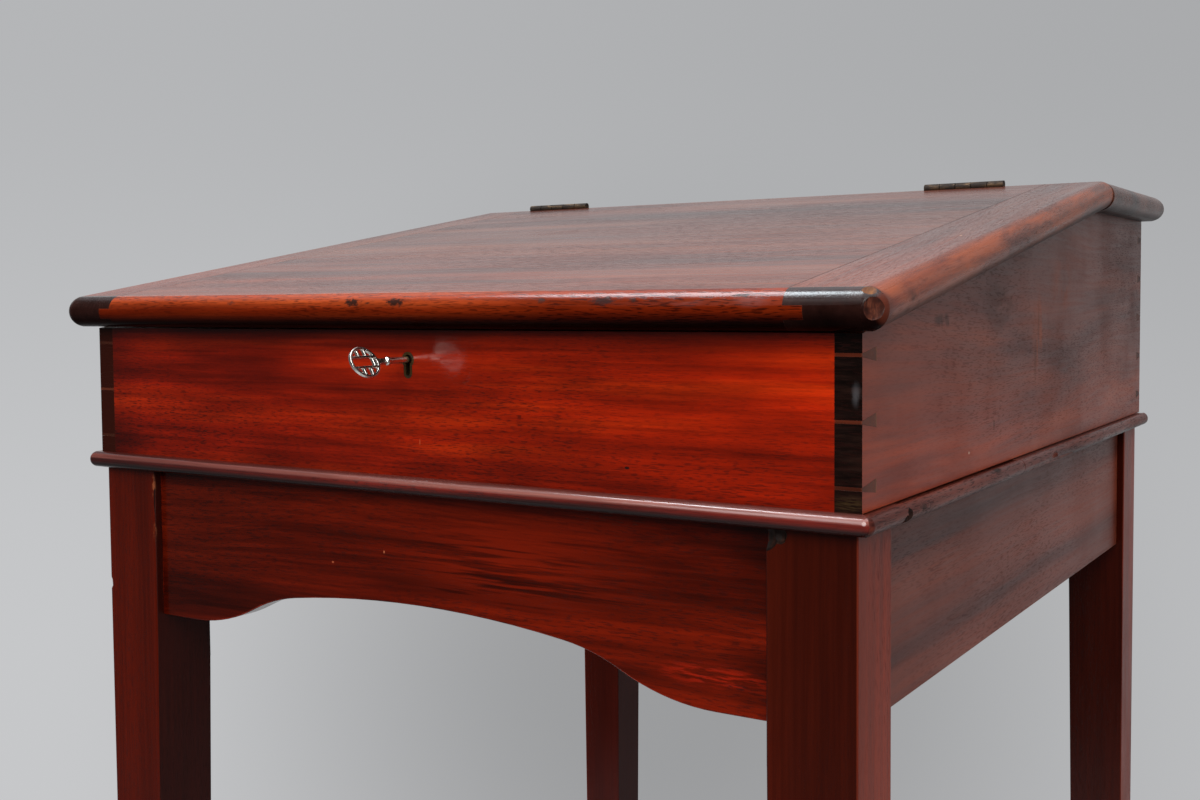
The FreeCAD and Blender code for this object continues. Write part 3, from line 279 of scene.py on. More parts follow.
frontLook = shifted(
    plainWood, seed=(3.1, 0.4, 0.2), dark=(0.12, 0.0045, 0.0004), body=(0.26, 0.0100, 0.0005),
    light=(0.41, 0.025, 0.0012), poreShare=0.65, pore=(160.0, 1700.0, 1700.0), fibreShare=0.22,
    blotch=(9.0, 24.0, 24.0), blotchShare=0.30, veinShare=0.35, rough=0.11, rub=0.02, shine=0.3, arris=0.4,
    bands=[{"axis": "X", "from": 0.06, "to": -0.22, "share": 1.0, "times": (0.72, 0.62, 0.62)},
           {"axis": "X", "from": 0.10, "to": 0.30, "share": 1.0, "times": (1.38, 1.30, 1.0)},
           {"axis": "X", "from": -0.285, "to": -0.325, "share": 0.75, "times": (0.45, 0.5, 0.6), "patchy": 0.35,
            "patch": (6, 30, 30)},
           # painted shade: the top of the front board is darkened under the lid's overhang
           {"axis": "Z", "from": 1.006, "to": 1.022, "share": 0.8, "times": (0.45, 0.5, 0.6)},
           {"axis": "Z", "from": 0.935, "to": 0.921, "share": 0.6, "times": (0.5, 0.5, 0.6), "patchy": 0.3},
           {"axis": "X", "from": 0.3222, "to": 0.3238, "share": 0.9, "tone": (0.060, 0.015, 0.006),
            "bothSides": True, "dull": 0.1},
           {"axis": "X", "from": 0.3390, "to": 0.3397, "share": 0.95, "tone": (0.110, 0.026, 0.011),
            "bothSides": True, "dull": 0.22},
           {"axis": "Y", "from": -0.3475, "to": -0.3468, "share": 1.0, "tone": bareTone, "dull": 0.4}],
    marks=[{"at": (0.1816, -0.3685, 0.9371), "size": (0.0022, 0.004, 0.0011), "share": 0.95,
            "tone": (0.01, 0.003, 0.002), "core": 0.6},
           {"at": (0.010, -0.3685, 0.9450), "size": (0.0006, 0.004, 0.0030), "share": 0.6,
            "tone": (0.55, 0.10, 0.03)}])
sideLook = shifted(
    plainWood, grain="Y", seed=(1.7, 2.3, 0.6), dark=(0.085, 0.013, 0.005), body=(0.150, 0.026, 0.009),
    light=(0.220, 0.048, 0.018), streak=(2.6, 20.0, 20.0), waver=0.05, swirl=0.6, poreShare=0.3, fibreShare=0.14,
    blotchShare=0.15, veinShare=0.12, rough=0.33, rub=0.1, shine=0.5, arris=0.6,
    bands=[{"axis": "Z", "from": 1.00, "to": 0.93, "share": 1.0, "times": (1.45, 1.25, 1.0)},
           {"axis": "Y", "from": 0.10, "to": -0.30, "share": 1.0, "times": (1.35, 1.2, 1.0)},
           {"axis": "X", "from": 0.3236, "to": 0.3231, "share": 1.0, "tone": bareTone, "dull": 0.35,
            "bothSides": True}],
    marks=[{"at": (0.340, 0.0147, 1.0088), "size": (0.02, 0.030, 0.055), "share": 0.55,
            "tone": (0.32, 0.075, 0.028), "core": 0.1, "broken": 0.2, "speck": (40, 60, 22)},
           {"at": (0.340, 0.0010, 0.9920), "size": (0.02, 0.006, 0.024), "share": 0.35,
            "tone": (0.035, 0.014, 0.010), "core": 0.1},
           {"at": (0.340, 0.0100, 1.0220), "size": (0.02, 0.004, 0.026), "share": 0.28,
            "tone": (0.04, 0.015, 0.010), "core": 0.1},
           {"at": (0.340, 0.0842, 1.0537), "size": (0.02, 0.045, 0.030), "share": 0.5, "tone": (0.30, 0.070, 0.028),
            "core": 0.1, "broken": 0.2, "speck": (40, 40, 30)},
           {"at": (0.340, -0.0950, 1.0400), "size": (0.02, 0.060, 0.030), "share": 0.5,
            "tone": (0.05, 0.017, 0.011), "core": 0.1, "broken": 0.1, "speck": (30, 20, 60)},
           {"at": (0.340, -0.1111, 0.9501), "size": (0.004, 0.0016, 0.0050), "share": 0.8,
            "tone": (0.03, 0.008, 0.005)},
           {"at": (0.340, -0.1702, 0.9354), "size": (0.004, 0.0012, 0.0012), "share": 0.9,
            "tone": (0.60, 0.42, 0.32), "core": 0.6},
           {"at": (0.340, -0.2232, 1.0291), "size": (0.004, 0.030, 0.006), "share": 0.7,
            "tone": (0.035, 0.012, 0.008), "broken": 0.3, "speck": (60, 90, 40)}])
endLook = shifted(
    plainWood, seed=(5.9, 2.4, 7.1), dark=(0.0035, 0.0012, 0.0008), body=(0.0075, 0.0028, 0.0019),
    light=(0.016, 0.006, 0.004), streak=(40.0, 60.0, 260.0), veinShare=0.0, rough=0.20, shine=0.15,
    marks=[{"at": (-0.3315, -0.3685, 0.970), "size": (0.018, 0.0016, 0.080), "share": 0.9,
            "tone": (0.030, 0.0042, 0.0016), "core": 0.8, "dull": 0.0},
           {"at": (0.3362, -0.3685, 0.9886), "size": (0.0040, 0.004, 0.0095), "share": 0.22,
            "tone": (0.22, 0.22, 0.24), "core": 0.05, "broken": 0.1, "speck": (160, 160, 60)},
           {"at": (0.3320, -0.3685, 0.9250), "size": (0.014, 0.004, 0.0070), "share": 0.45,
            "tone": (0.085, 0.050, 0.017), "core": 0.1, "broken": 0.2, "speck": (90, 90, 1600)}])
backLook = shifted(
    plainWood, seed=(0.9, 4.4, 1.2), dark=(0.05, 0.009, 0.004), body=(0.115, 0.022, 0.009),
    light=(0.18, 0.042, 0.018), rough=0.45,
    bands=[{"axis": "Y", "from": 0.4006, "to": 0.3999, "share": 1.0, "tone": bareTone, "dull": 0.25}])
apronLook = shifted(
    plainWood, seed=(5.2, 1.1, 2.6), dark=(0.045, 0.0030, 0.0006), body=(0.140, 0.0070, 0.0008),
    light=(0.28, 0.015, 0.0014), streak=(1.5, 30.0, 30.0), waver=0.045, fibreShare=0.26, blotchShare=0.3,
    veinShare=0.4, poreShare=0.5, rough=0.14, shine=0.2, arris=0.6,
    bands=[{"axis": "X", "from": 0.0, "to": -0.24, "share": 0.85, "times": (0.32, 0.40, 0.7)},
           {"axis": "X", "from": 0.235, "to": 0.277, "share": 0.85, "times": (0.35, 0.45, 0.6), "patchy": 0.4,
            "patch": (14, 40, 40)},
           # painted shade: the top of the front apron is darkened under the moulding
           {"axis": "Z", "from": 0.888, "to": 0.906, "share": 0.7, "times": (0.5, 0.55, 0.6)},
           {"axis": "Y", "from": -0.3412, "to": -0.3404, "share": 1.0, "tone": dimmedBareTone, "dull": 0.35}],
    marks=[{"at": (0.080, -0.360, 0.862), "size": (0.150, 0.020, 0.045), "share": 0.75,
            "tone": (0.21, 0.0105, 0.0012), "core": 0.1, "dull": 0.0, "broken": 0.05, "speck": (10, 10, 240)},
           {"at": (0.238, -0.360, 0.8085), "size": (0.055, 0.006, 0.0110), "share": 0.75,
            "tone": (0.36, 0.013, 0.002), "core": 0.2, "broken": 0.3, "speck": (45, 45, 420)},
           {"at": (0.255, -0.360, 0.8040), "size": (0.010, 0.006, 0.0030), "share": 0.8,
            "tone": (0.02, 0.003, 0.002), "broken": 0.3, "speck": (160, 160, 700)},
           {"at": (0.1595, -0.360, 0.8062), "size": (0.0032, 0.004, 0.0016), "share": 0.9,
            "tone": (0.55, 0.20, 0.05), "core": 0.6},
           {"at": (-0.0841, -0.360, 0.8488), "size": (0.0016, 0.004, 0.0010), "share": 0.8,
            "tone": (0.45, 0.10, 0.04)},
           {"at": (-0.0329, -0.360, 0.8613), "size": (0.0010, 0.004, 0.0014), "share": 0.8,
            "tone": (0.50, 0.14, 0.06)}])
rearApronLook = shifted(backLook, seed=(3.3, 1.9, 6.2), bands=[
    {"axis": "Y", "from": 0.3888, "to": 0.3881, "share": 1.0, "tone": dimmedBareTone, "dull": 0.25}])
sideApronLook = shifted(
    plainWood, grain="Y", seed=(2.2, 0.7, 4.1), dark=(0.064, 0.012, 0.007), body=(0.132, 0.022, 0.009),
    light=(0.195, 0.036, 0.015), streak=(0.9, 26.0, 26.0), waver=0.02, spread=(0.36, 0.64), rough=0.35, rub=0.06,
    poreShare=0.3, fibreShare=0.13, blotch=(1.0, 8.0, 8.0), blotchShare=0.16, veinShare=0.12, shine=0.42,
    bands=[{"axis": "X", "from": 0.3112, "to": 0.3104, "share": 1.0, "tone": dimmedBareTone, "dull": 0.3,
            "bothSides": True}])
legLook = shifted(
    plainWood, grain="Z", seed=(0.3, 3.3, 1.9), dark=(0.029, 0.0028, 0.0008), body=(0.044, 0.0038, 0.0008),
    light=(0.064, 0.0054, 0.0011), streak=(1.2, 30.0, 30.0), spread=(0.22, 0.82), fibreShare=0.15, blotchShare=0.18,
    # the last setting on this line darkens the faces that look to the inside of the stand: painted shade
    veinShare=0.15, poreShare=0.45, rough=0.15, shine=0.2, innerTimes=(0.40, 0.45, 0.5),
    # painted light and sheen: the outer side faces of the legs are made much lighter and greyer than their fronts
    bands=[{"axis": "X", "from": 0.3354, "to": 0.3362, "share": 1.0, "times": (4.4, 6.0, 9.0), "dull": 0.15,
            "bothSides": True},
           {"axis": "X", "from": -0.10, "to": -0.20, "share": 1.0, "times": (1.7, 1.2, 0.9)}],
    marks=[{"at": (-0.2785, -0.3665, 0.8930), "size": (0.0022, 0.003, 0.0130), "share": 0.75,
            "tone": (0.32, 0.085, 0.028), "core": 0.2, "broken": 0.15, "speck": (300, 300, 160)},
           {"at": (-0.2785, -0.3665, 0.8550), "size": (0.0020, 0.003, 0.0100), "share": 0.65,
            "tone": (0.30, 0.080, 0.028), "core": 0.2, "broken": 0.2, "speck": (300, 300, 160)}])
lidLook = shifted(
    plainWood, grain="lidX", seed=(4.0, 1.9, 0.3), dark=(0.052, 0.011, 0.006), body=(0.100, 0.023, 0.012),
    light=(0.150, 0.044, 0.023), streak=(1.3, 19.0, 19.0), waver=0.03, rough=0.25, rub=0.03, blotchShare=0.12,
    veinShare=0.15,
    bands=[{"axis": "Y", "from": 0.30, "to": 0.02, "share": 1.0, "times": (1.6, 1.4, 1.2), "onLid": True},
           {"axis": "X", "from": 0.2983, "to": 0.2991, "share": 0.9, "times": (0.2, 0.2, 0.25), "bothSides": True,
            "dull": 0.4},
           {"axis": "Z", "from": 0.0016, "to": 0.0008, "share": 1.0, "tone": bareTone, "onLid": True,
            "dull": 0.35}])
chipTone = (0.018, 0.008, 0.006)
coarseTear, fineTear = (240, 300, 420), (300, 300, 420)
noseLook = shifted(
    lidLook, seed=(1.2, 0.5, 2.2), dark=(0.170, 0.018, 0.004), body=(0.270, 0.036, 0.008),
    light=(0.360, 0.060, 0.014), streak=(3.0, 60.0, 60.0), rough=0.13, rub=0.03, shine=0.28,
    # painted shade: the first and last bands darken the round nose from its top towards its underside, near black
    # at the bottom; the matt settings only take shine away
    bands=[{"axis": "Z", "from": 0.0225, "to": 0.0150, "share": 1.0, "times": (0.48, 0.29, 0.17), "onLid": True},
           {"axis": "Z", "from": 0.0234, "to": 0.0190, "share": 1.0, "times": (0.97, 0.97, 0.97), "onLid": True,
            "matt": 0.80},
           {"axis": "Z", "from": 0.0165, "to": 0.0050, "share": 1.0, "times": (0.05, 0.07, 0.2), "onLid": True,
            "matt": 0.85}],
    marks=[{"at": (-0.0335, -0.3880, 1.0440), "size": (0.0085, 0.007, 0.0034), "share": 0.95, "tone": chipTone,
            "core": 0.45, "dull": 0.05, "ragged": coarseTear, "deep": 1.5},
           {"at": (0.0068, -0.3880, 1.0438), "size": (0.0100, 0.007, 0.0038), "share": 0.95, "tone": chipTone,
            "core": 0.45, "dull": 0.05, "ragged": coarseTear, "deep": 1.5},
           {"at": (-0.0193, -0.3880, 1.0434), "size": (0.0026, 0.006, 0.0014), "share": 0.8, "tone": chipTone,
            "ragged": fineTear, "deep": 1.0},
           {"at": (0.1780, -0.3880, 1.0436), "size": (0.0120, 0.007, 0.0034), "share": 0.9,
            "tone": (0.030, 0.015, 0.014), "core": 0.4, "dull": 0.05, "ragged": coarseTear, "deep": 1.2},
           {"at": (0.1300, -0.3880, 1.0440), "size": (0.0050, 0.007, 0.0024), "share": 0.75,
            "tone": (0.04, 0.016, 0.012), "ragged": fineTear, "deep": 1.0},
           {"at": (0.1992, -0.3880, 1.0440), "size": (0.0030, 0.006, 0.0018), "share": 0.85, "tone": chipTone,
            "core": 0.4, "ragged": fineTear},
           {"at": (-0.1568, -0.3880, 1.0438), "size": (0.0060, 0.007, 0.0022), "share": 0.6,
            "tone": (0.04, 0.014, 0.010), "ragged": fineTear, "deep": 1.0},
           # painted highlight on rougher polish: the next two marks are pale hazy patches on the right part of the
           # nose
           {"at": (0.2360, -0.3885, 1.0432), "size": (0.0140, 0.007, 0.0050), "share": 0.5,
            "tone": (0.17, 0.060, 0.055), "core": 0.1, "dull": 0.25, "broken": 0.05, "speck": (60, 60, 200)},
           {"at": (0.2790, -0.3885, 1.0430), "size": (0.0160, 0.007, 0.0052), "share": 0.55,
            "tone": (0.17, 0.060, 0.055), "core": 0.1, "dull": 0.25, "broken": 0.05, "speck": (60, 60, 200)},
           {"at": (0.2740, -0.3865, 1.0462), "size": (0.0070, 0.006, 0.0012), "share": 0.85,
            "tone": (0.03, 0.012, 0.010), "core": 0.5, "ragged": fineTear}])
cleatLook = shifted(
    lidLook, grain="lidY", seed=(0.6, 2.9, 5.3), streak=(3.0, 24.0, 24.0), poreShare=0.35, fibreShare=0.14, marks=[
        {"at": (0.3325, -0.1673, 1.0867), "size": (0.0012, 0.0015, 0.004), "share": 0.9, "tone": (0.62, 0.36, 0.24),
         "core": 0.6},
        {"at": (0.3550, -0.3300, 1.0438), "size": (0.010, 0.026, 0.010), "share": 0.8,
         "tone": (0.035, 0.014, 0.010), "broken": 0.3, "speck": (130, 90, 130), "deep": 0.8},
        {"at": (0.3580, -0.3830, 1.0390), "size": (0.0075, 0.016, 0.016), "share": 0.9,
         "tone": (0.120, 0.026, 0.014), "core": 0.5, "dull": 0.1}],
    bands=[{"axis": "Y", "from": 0.30, "to": 0.02, "share": 1.0, "times": (1.5, 1.3, 1.25), "onLid": True},
           # painted light: a lighter orange, broken into patches, along the outer side of each cleat's round nose
           {"axis": "X", "from": 0.3470, "to": 0.3545, "share": 0.9, "tone": (0.28, 0.062, 0.021),
            "bothSides": True, "patchy": 0.8, "patch": (12, 60, 60), "dull": 0.03},
           {"axis": "Y", "from": -0.004, "to": -0.010, "share": 0.97, "tone": (0.010, 0.0035, 0.0025),
            "onLid": True, "matt": 0.8},
           # painted shade: the lower part of the cleat's round nose is darkened
           {"axis": "Z", "from": 0.0110, "to": 0.0040, "share": 0.8, "times": (0.3, 0.3, 0.35), "onLid": True,
            "dull": 0.4},
           {"axis": "Z", "from": 0.0016, "to": 0.0008, "share": 0.7, "tone": dimmed(bareTone, 0.5), "onLid": True,
            "dull": 0.35}])
cleatNoseLook = shifted(
    cleatLook, dark=(0.011, 0.0038, 0.0028), body=(0.020, 0.0072, 0.0054), light=(0.040, 0.016, 0.012), rough=0.14,
    rub=0.02, shine=0.52, poreShare=0.3, marks=[
        {"at": (0.3590, -0.3800, 1.0390), "size": (0.0065, 0.016, 0.016), "share": 0.9,
         "tone": (0.120, 0.026, 0.014), "core": 0.5, "dull": 0.15}],
    # painted shade: these bands darken the end-grain nose towards its underside; the matt settings only take shine
    # away
    bands=[{"axis": "Z", "from": 0.0231, "to": 0.0178, "share": 1.0, "times": (0.90, 0.80, 0.80), "matt": 0.86,
            "onLid": True},
           {"axis": "Z", "from": 0.0150, "to": 0.0070, "share": 1.0, "times": (0.45, 0.38, 0.38), "matt": 0.88,
            "onLid": True}])
ledgeLook = shifted(
    lidLook, grain="X", seed=(2.8, 3.7, 1.4), dark=(0.035, 0.010, 0.006), body=(0.085, 0.024, 0.014),
    light=(0.14, 0.042, 0.022),
    # painted shade: the underside and lowest edge of the ledge are darkened
    bands=[{"axis": "Z", "from": 1.1300, "to": 1.1230, "share": 0.9, "times": (0.35, 0.35, 0.4), "dull": 0.3}])
stripLook = shifted(
    plainWood, seed=(6.1, 0.8, 3.2), dark=(0.040, 0.0040, 0.0026), body=(0.120, 0.0090, 0.0052),
    light=(0.21, 0.018, 0.009), streak=(3.0, 90.0, 90.0), fibre=(14.0, 500.0, 500.0), rough=0.14, shine=1.0,
    # painted highlight: a pale band along the upper side of the round moulding
    bands=[{"axis": "Z", "from": 0.9142, "to": 0.9164, "share": 0.75, "tone": (0.27, 0.095, 0.075)},
           # painted shadow: a dark line along the top of the moulding where it meets the box
           {"axis": "Z", "from": 0.9176, "to": 0.9192, "share": 0.9, "times": (0.30, 0.22, 0.22)},
           # darker towards the left, which also fades the painted highlight there
           {"axis": "X", "from": 0.10, "to": -0.30, "share": 0.8, "times": (0.55, 0.40, 0.40)},
           # painted shade: the lower half of the moulding is darkened
           {"axis": "Z", "from": 0.9148, "to": 0.9096, "share": 1.0, "times": (0.12, 0.16, 0.22), "matt": 0.85}])
sideStripLook = shifted(
    stripLook, grain="Y", seed=(1.4, 5.5, 0.9), dark=(0.035, 0.006, 0.004), body=(0.105, 0.019, 0.011),
    light=(0.17, 0.038, 0.022), rough=0.30, rub=0.12, shine=0.22, relief=0.0012,
    # painted shade: the lower part of the moulding is darkened
    bands=[{"axis": "Z", "from": 0.9130, "to": 0.9080, "share": 0.9, "times": (0.35, 0.35, 0.4)}],
    marks=[{"at": (0.347, -0.2860, 0.9100), "size": (0.010, 0.020, 0.010), "share": 0.8,
            "tone": (0.025, 0.013, 0.010), "broken": 0.25, "speck": (160, 160, 160), "deep": 0.8},
           {"at": (0.347, -0.1244, 0.9190), "size": (0.010, 0.010, 0.004), "share": 0.8,
            "tone": (0.02, 0.012, 0.010)}])
bareLook = shifted(
    plainWood, seed=(7.7, 2.1, 0.5), dark=(0.11, 0.050, 0.024), body=(0.22, 0.105, 0.050), light=(0.30, 0.16, 0.08),
    rough=0.62, shine=0.25, poreTone=(0.05, 0.02, 0.01))
freshLook = shifted(
    plainWood, grain="lidY", seed=(8.1, 0.9, 2.7), dark=(0.06, 0.018, 0.005), body=(0.13, 0.042, 0.009),
    light=(0.22, 0.080, 0.020), streak=(60.0, 240.0, 240.0), rough=0.5, shine=0.3, poreTone=(0.10, 0.03, 0.012))
scarLook = shifted(
    plainWood, grain="Z", seed=(4.6, 2.0, 8.8), dark=(0.022, 0.005, 0.003), body=(0.055, 0.012, 0.006),
    light=(0.15, 0.042, 0.020), streak=(150.0, 170.0, 170.0), rough=0.38, shine=0.22, spread=(0.36, 0.70))
rimLook = shifted(
    scarLook, seed=(1.1, 6.3, 3.9), dark=(0.04, 0.010, 0.005), body=(0.10, 0.030, 0.016), light=(0.34, 0.20, 0.15),
    streak=(130.0, 150.0, 150.0), spread=(0.40, 0.66))
# near-black wood for the hollows of the notch in the front right leg and of the chips at the break in the right
# moulding
darkHollowLook = shifted(
    plainWood, grain="Z", seed=(2.4, 7.9, 0.4), dark=(0.006, 0.003, 0.002), body=(0.018, 0.008, 0.005),
    light=(0.045, 0.016, 0.009), streak=(60.0, 240.0, 240.0), rough=0.6, shine=0.25)

boardLooks = {"boxFrontMahogany": frontLook, "boxSideMahogany": sideLook, "boxBackMahogany": backLook,
              "apronMahogany": apronLook, "sideApronMahogany": sideApronLook, "rearApronMahogany": rearApronLook,
              "legMahogany": legLook, "lidMahogany": lidLook, "cleatMahogany": cleatLook,
              "ledgeMahogany": ledgeLook, "stripMahogany": stripLook, "sideStripMahogany": sideStripLook,
              "bareMahogany": bareLook}
# woods that cover only a part of a board
partLooks = {"endMahogany": endLook, "noseMahogany": noseLook, "cleatNoseMahogany": cleatNoseLook,
             "freshMahogany": freshLook, "scarMahogany": scarLook, "rimMahogany": rimLook,
             "darkHollowMahogany": darkHollowLook}
# the rubbed arris of a board, from the tones of its wood
arris = {"dark": 0.8, "body": 0.95, "light": 1.5, "dull": 0.08, "streak": (30.0, 60.0, 60.0)}
wood = {}
for name, look in {**boardLooks, **partLooks}.items():
    wood[name] = woodFinish(name, look)
for name, look in boardLooks.items():
    rubbed = look.get("arris", 1.0)
    worn = shifted(look, dark=dimmed(look["body"], arris["dark"] * rubbed),
                   body=dimmed(look["light"], arris["body"] * rubbed),
                   light=dimmed(look["light"], arris["light"] * rubbed),
                   rough=look["rough"] + arris["dull"], streak=arris["streak"], marks=[], bands=[])
    wood[name + "Arris"] = woodFinish(name + "Arris", worn)
print("woods mixed:", len(wood))


metalHabit = {"grit": (1400.0, 1400.0, 1400.0), "gritSpan": (0.62, 0.72), "gritDull": 0.08, "bump": 0.25}


def metalFinish(name, look):
    finish = bpy.data.materials.new(name)
    finish.use_nodes = True
    tree = finish.node_tree
    tree.nodes.clear()
    place = put(tree, "TexCoord").outputs["Object"]
    stain = cloud(tree, place, look["stain"], *noise["stain"]).outputs[0]
    grit = cloud(tree, place, metalHabit["grit"]).outputs[0]
    cover = ease(tree, stain, *look["cover"])
    colour = tint(tree, cover, full(look["bright"]), full(look["dull"]))
    speck = calc(tree, "MULTIPLY", ease(tree, grit, *metalHabit["gritSpan"]), look["speck"])
    colour = tint(tree, speck, colour, full(look["dirt"]))
    rough = calc(tree, "ADD", look["rough"], calc(tree, "MULTIPLY", cover, look["roughMore"]))
    rough = calc(tree, "ADD", rough, calc(tree, "MULTIPLY", grit, metalHabit["gritDull"]))
    metal = calc(tree, "SUBTRACT", 1.0, calc(tree, "MULTIPLY", cover, look["crust"]))
    bump = put(tree, "Bump", {"Height": calc(tree, "ADD", grit, stain), "Strength": metalHabit["bump"],
                              "Distance": look["relief"]})
    shader = put(tree, "BsdfPrincipled", {"Base Color": colour, "Metallic": metal, "Roughness": rough,
                                          "Normal": bump.outputs[0]})
    put(tree, "OutputMaterial", {"Surface": shader.outputs[0]})
    return finish


hingeBrass = metalFinish("hingeBrass", {"bright": (0.17, 0.105, 0.06), "dull": (0.030, 0.019, 0.014),
                                        "dirt": (0.02, 0.015, 0.01), "stain": (60.0, 190.0, 190.0),
                                        "cover": (0.34, 0.54), "speck": 0.7, "rough": 0.40, "roughMore": 0.25,
                                        "crust": 0.45, "relief": 0.00025})
linerBrass = metalFinish("linerBrass", {"bright": (0.16, 0.095, 0.032), "dull": (0.022, 0.013, 0.007),
                                        "dirt": (0.012, 0.009, 0.006), "stain": (420.0, 420.0, 420.0),
                                        "cover": (0.38, 0.6), "speck": 0.8, "rough": 0.38, "roughMore": 0.2,
                                        "crust": 0.5, "relief": 0.0002})
lockSteel = metalFinish("lockSteel", {"bright": (0.42, 0.41, 0.39), "dull": (0.16, 0.12, 0.09),
                                      "dirt": (0.05, 0.03, 0.02), "stain": (110.0, 110.0, 110.0),
                                      "cover": (0.46, 0.66), "speck": 0.5, "rough": 0.34, "roughMore": 0.2,
                                      "crust": 0.4, "relief": 0.0002})
keyNickel = metalFinish("keyNickel", {"bright": (0.86, 0.83, 0.77), "dull": (0.48, 0.44, 0.38),
                                      "dirt": (0.16, 0.13, 0.10), "stain": (260.0, 260.0, 260.0),
                                      "cover": (0.5, 0.74), "speck": 0.25, "rough": 0.17, "roughMore": 0.14,
                                      "crust": 0.0, "relief": 0.00004})
print("metals mixed")


def choose(piece):
    bpy.ops.object.select_all(action="DESELECT")
    piece.hide_set(False)
    piece.select_set(True)
    bpy.context.view_layer.objects.active = piece


merge = {"gap": 0.00001, "flat": math.radians(0.6)}


def takeBoard(node):
    # a merged copy of a node, ready to be worn
    choose(nodes[node])
    bpy.ops.object.duplicate()
    piece = bpy.context.active_object
    piece.name = node + "_worn"
    piece.data.name = piece.name
    del piece["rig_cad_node"]
    bpy.ops.object.mode_set(mode="EDIT")
    bpy.ops.mesh.select_all(action="SELECT")
    bpy.ops.mesh.customdata_custom_splitnormals_clear()
    bpy.ops.mesh.remove_doubles(threshold=merge["gap"])
    bpy.ops.mesh.dissolve_limited(angle_limit=merge["flat"])
    bpy.ops.object.mode_set(mode="OBJECT")
    return piece


def apply(piece, kind, **settings):
    tool = piece.modifiers.new(kind.lower(), kind)
    for key, value in settings.items():
        setattr(tool, key, value)
    choose(piece)
    bpy.ops.object.modifier_apply(modifier=tool.name)


chipRough = 0.10
arrisSlot = 1  # a board's second material


def gouge(piece, chip):
    # a rough pebble bites into the board and leaves one of its other woods in the hollow
    bpy.ops.object.select_all(action="DESELECT")
    bpy.ops.mesh.primitive_ico_sphere_add(subdivisions=3, radius=1.0, location=(0, 0, 0))
    pebble = bpy.context.active_object
    bpy.ops.object.mode_set(mode="EDIT")
    bpy.ops.mesh.select_all(action="SELECT")
    bpy.ops.transform.vertex_random(offset=chip.get("rough", chipRough), seed=chip["seed"])
    bpy.ops.transform.resize(value=chip["size"], center_override=(0.0, 0.0, 0.0))
    bpy.ops.object.mode_set(mode="OBJECT")
    pebble.location = chip["at"]
    for finish in piece.data.materials:
        pebble.data.materials.append(finish)
    for face in pebble.data.polygons:
        face.material_index = chip.get("tone", arrisSlot)
    apply(piece, "BOOLEAN", operation="DIFFERENCE", object=pebble, solver="EXACT")
    choose(pebble)
    bpy.ops.object.delete()


trim = {"spare": 0.010, "clear": 0.0004, "tall": 3, "shrink": 0.996, "turn": (0.31, 0.17, 0.23)}


def trimCorner(piece, corner):
    # the round nose turns the corner as a ball: a block less the ball is cut away
    reach = corner["ball"] + trim["spare"]
    bpy.ops.object.select_all(action="DESELECT")
    step = reach / 2 + trim["clear"]
    spot = [centre + way * step for centre, way in zip(corner["centre"], corner["out"])]
    bpy.ops.mesh.primitive_cube_add(size=1.0, location=spot)
    waste = bpy.context.active_object
    bpy.ops.transform.resize(value=(reach, reach, reach * trim["tall"]))
    choose(waste)
    bpy.ops.object.transform_apply(location=False, rotation=False, scale=True)
    bpy.ops.mesh.primitive_uv_sphere_add(segments=96, ring_count=48, radius=corner["ball"] * trim["shrink"],
                                         location=corner["centre"], rotation=trim["turn"])
    core = bpy.context.active_object
    apply(waste, "BOOLEAN", operation="DIFFERENCE", object=core, solver="EXACT")
    apply(piece, "BOOLEAN", operation="DIFFERENCE", object=waste, solver="EXACT")
    for helper in (core, waste):
        choose(helper)
        bpy.ops.object.delete()


nose = {"deepest": -0.0060, "under": -0.2}


def paintNose(piece, slot):
    # the round front of the lid takes its own wood, with the faces that turn under it
    lean = Vector((0.0, math.cos(desk["lidTilt"]), math.sin(desk["lidTilt"])))
    for face in piece.data.polygons:
        depth = (face.center - Vector(desk["lidPivot"])).dot(lean)
        if face.material_index == 0 and (
                depth < nose["deepest"] or (depth < 0.0 and face.normal.z < nose["under"])):
            face.material_index = slot


ends = {"facing": -0.7, "near": 0.0008}


def paintEnds(piece, slot):
    # the sawn ends of the side boards show at the front of the box
    for face in piece.data.polygons:
        if face.normal.y < ends["facing"] and face.center.y < desk["frontY"] + ends["near"]:
            face.material_index = slot


topSkin = 0.0002


def lowerTop(piece, drop):
    # a shrunk strip, whose upper side has sunk away from the box
    choose(piece)
    bpy.ops.object.mode_set(mode="EDIT")
    bpy.ops.mesh.select_mode(type="VERT")
    bpy.ops.mesh.select_all(action="DESELECT")
    bpy.ops.object.mode_set(mode="OBJECT")
    top = max(corner.co.z for corner in piece.data.vertices)
    for corner in piece.data.vertices:
        corner.select = corner.co.z > top - topSkin
    bpy.ops.object.mode_set(mode="EDIT")
    bpy.ops.transform.translate(value=(0.0, 0.0, -drop))
    bpy.ops.object.mode_set(mode="OBJECT")


easing = {"steps": 3, "sharp": math.radians(38), "smooth": math.radians(48), "weight": 100}


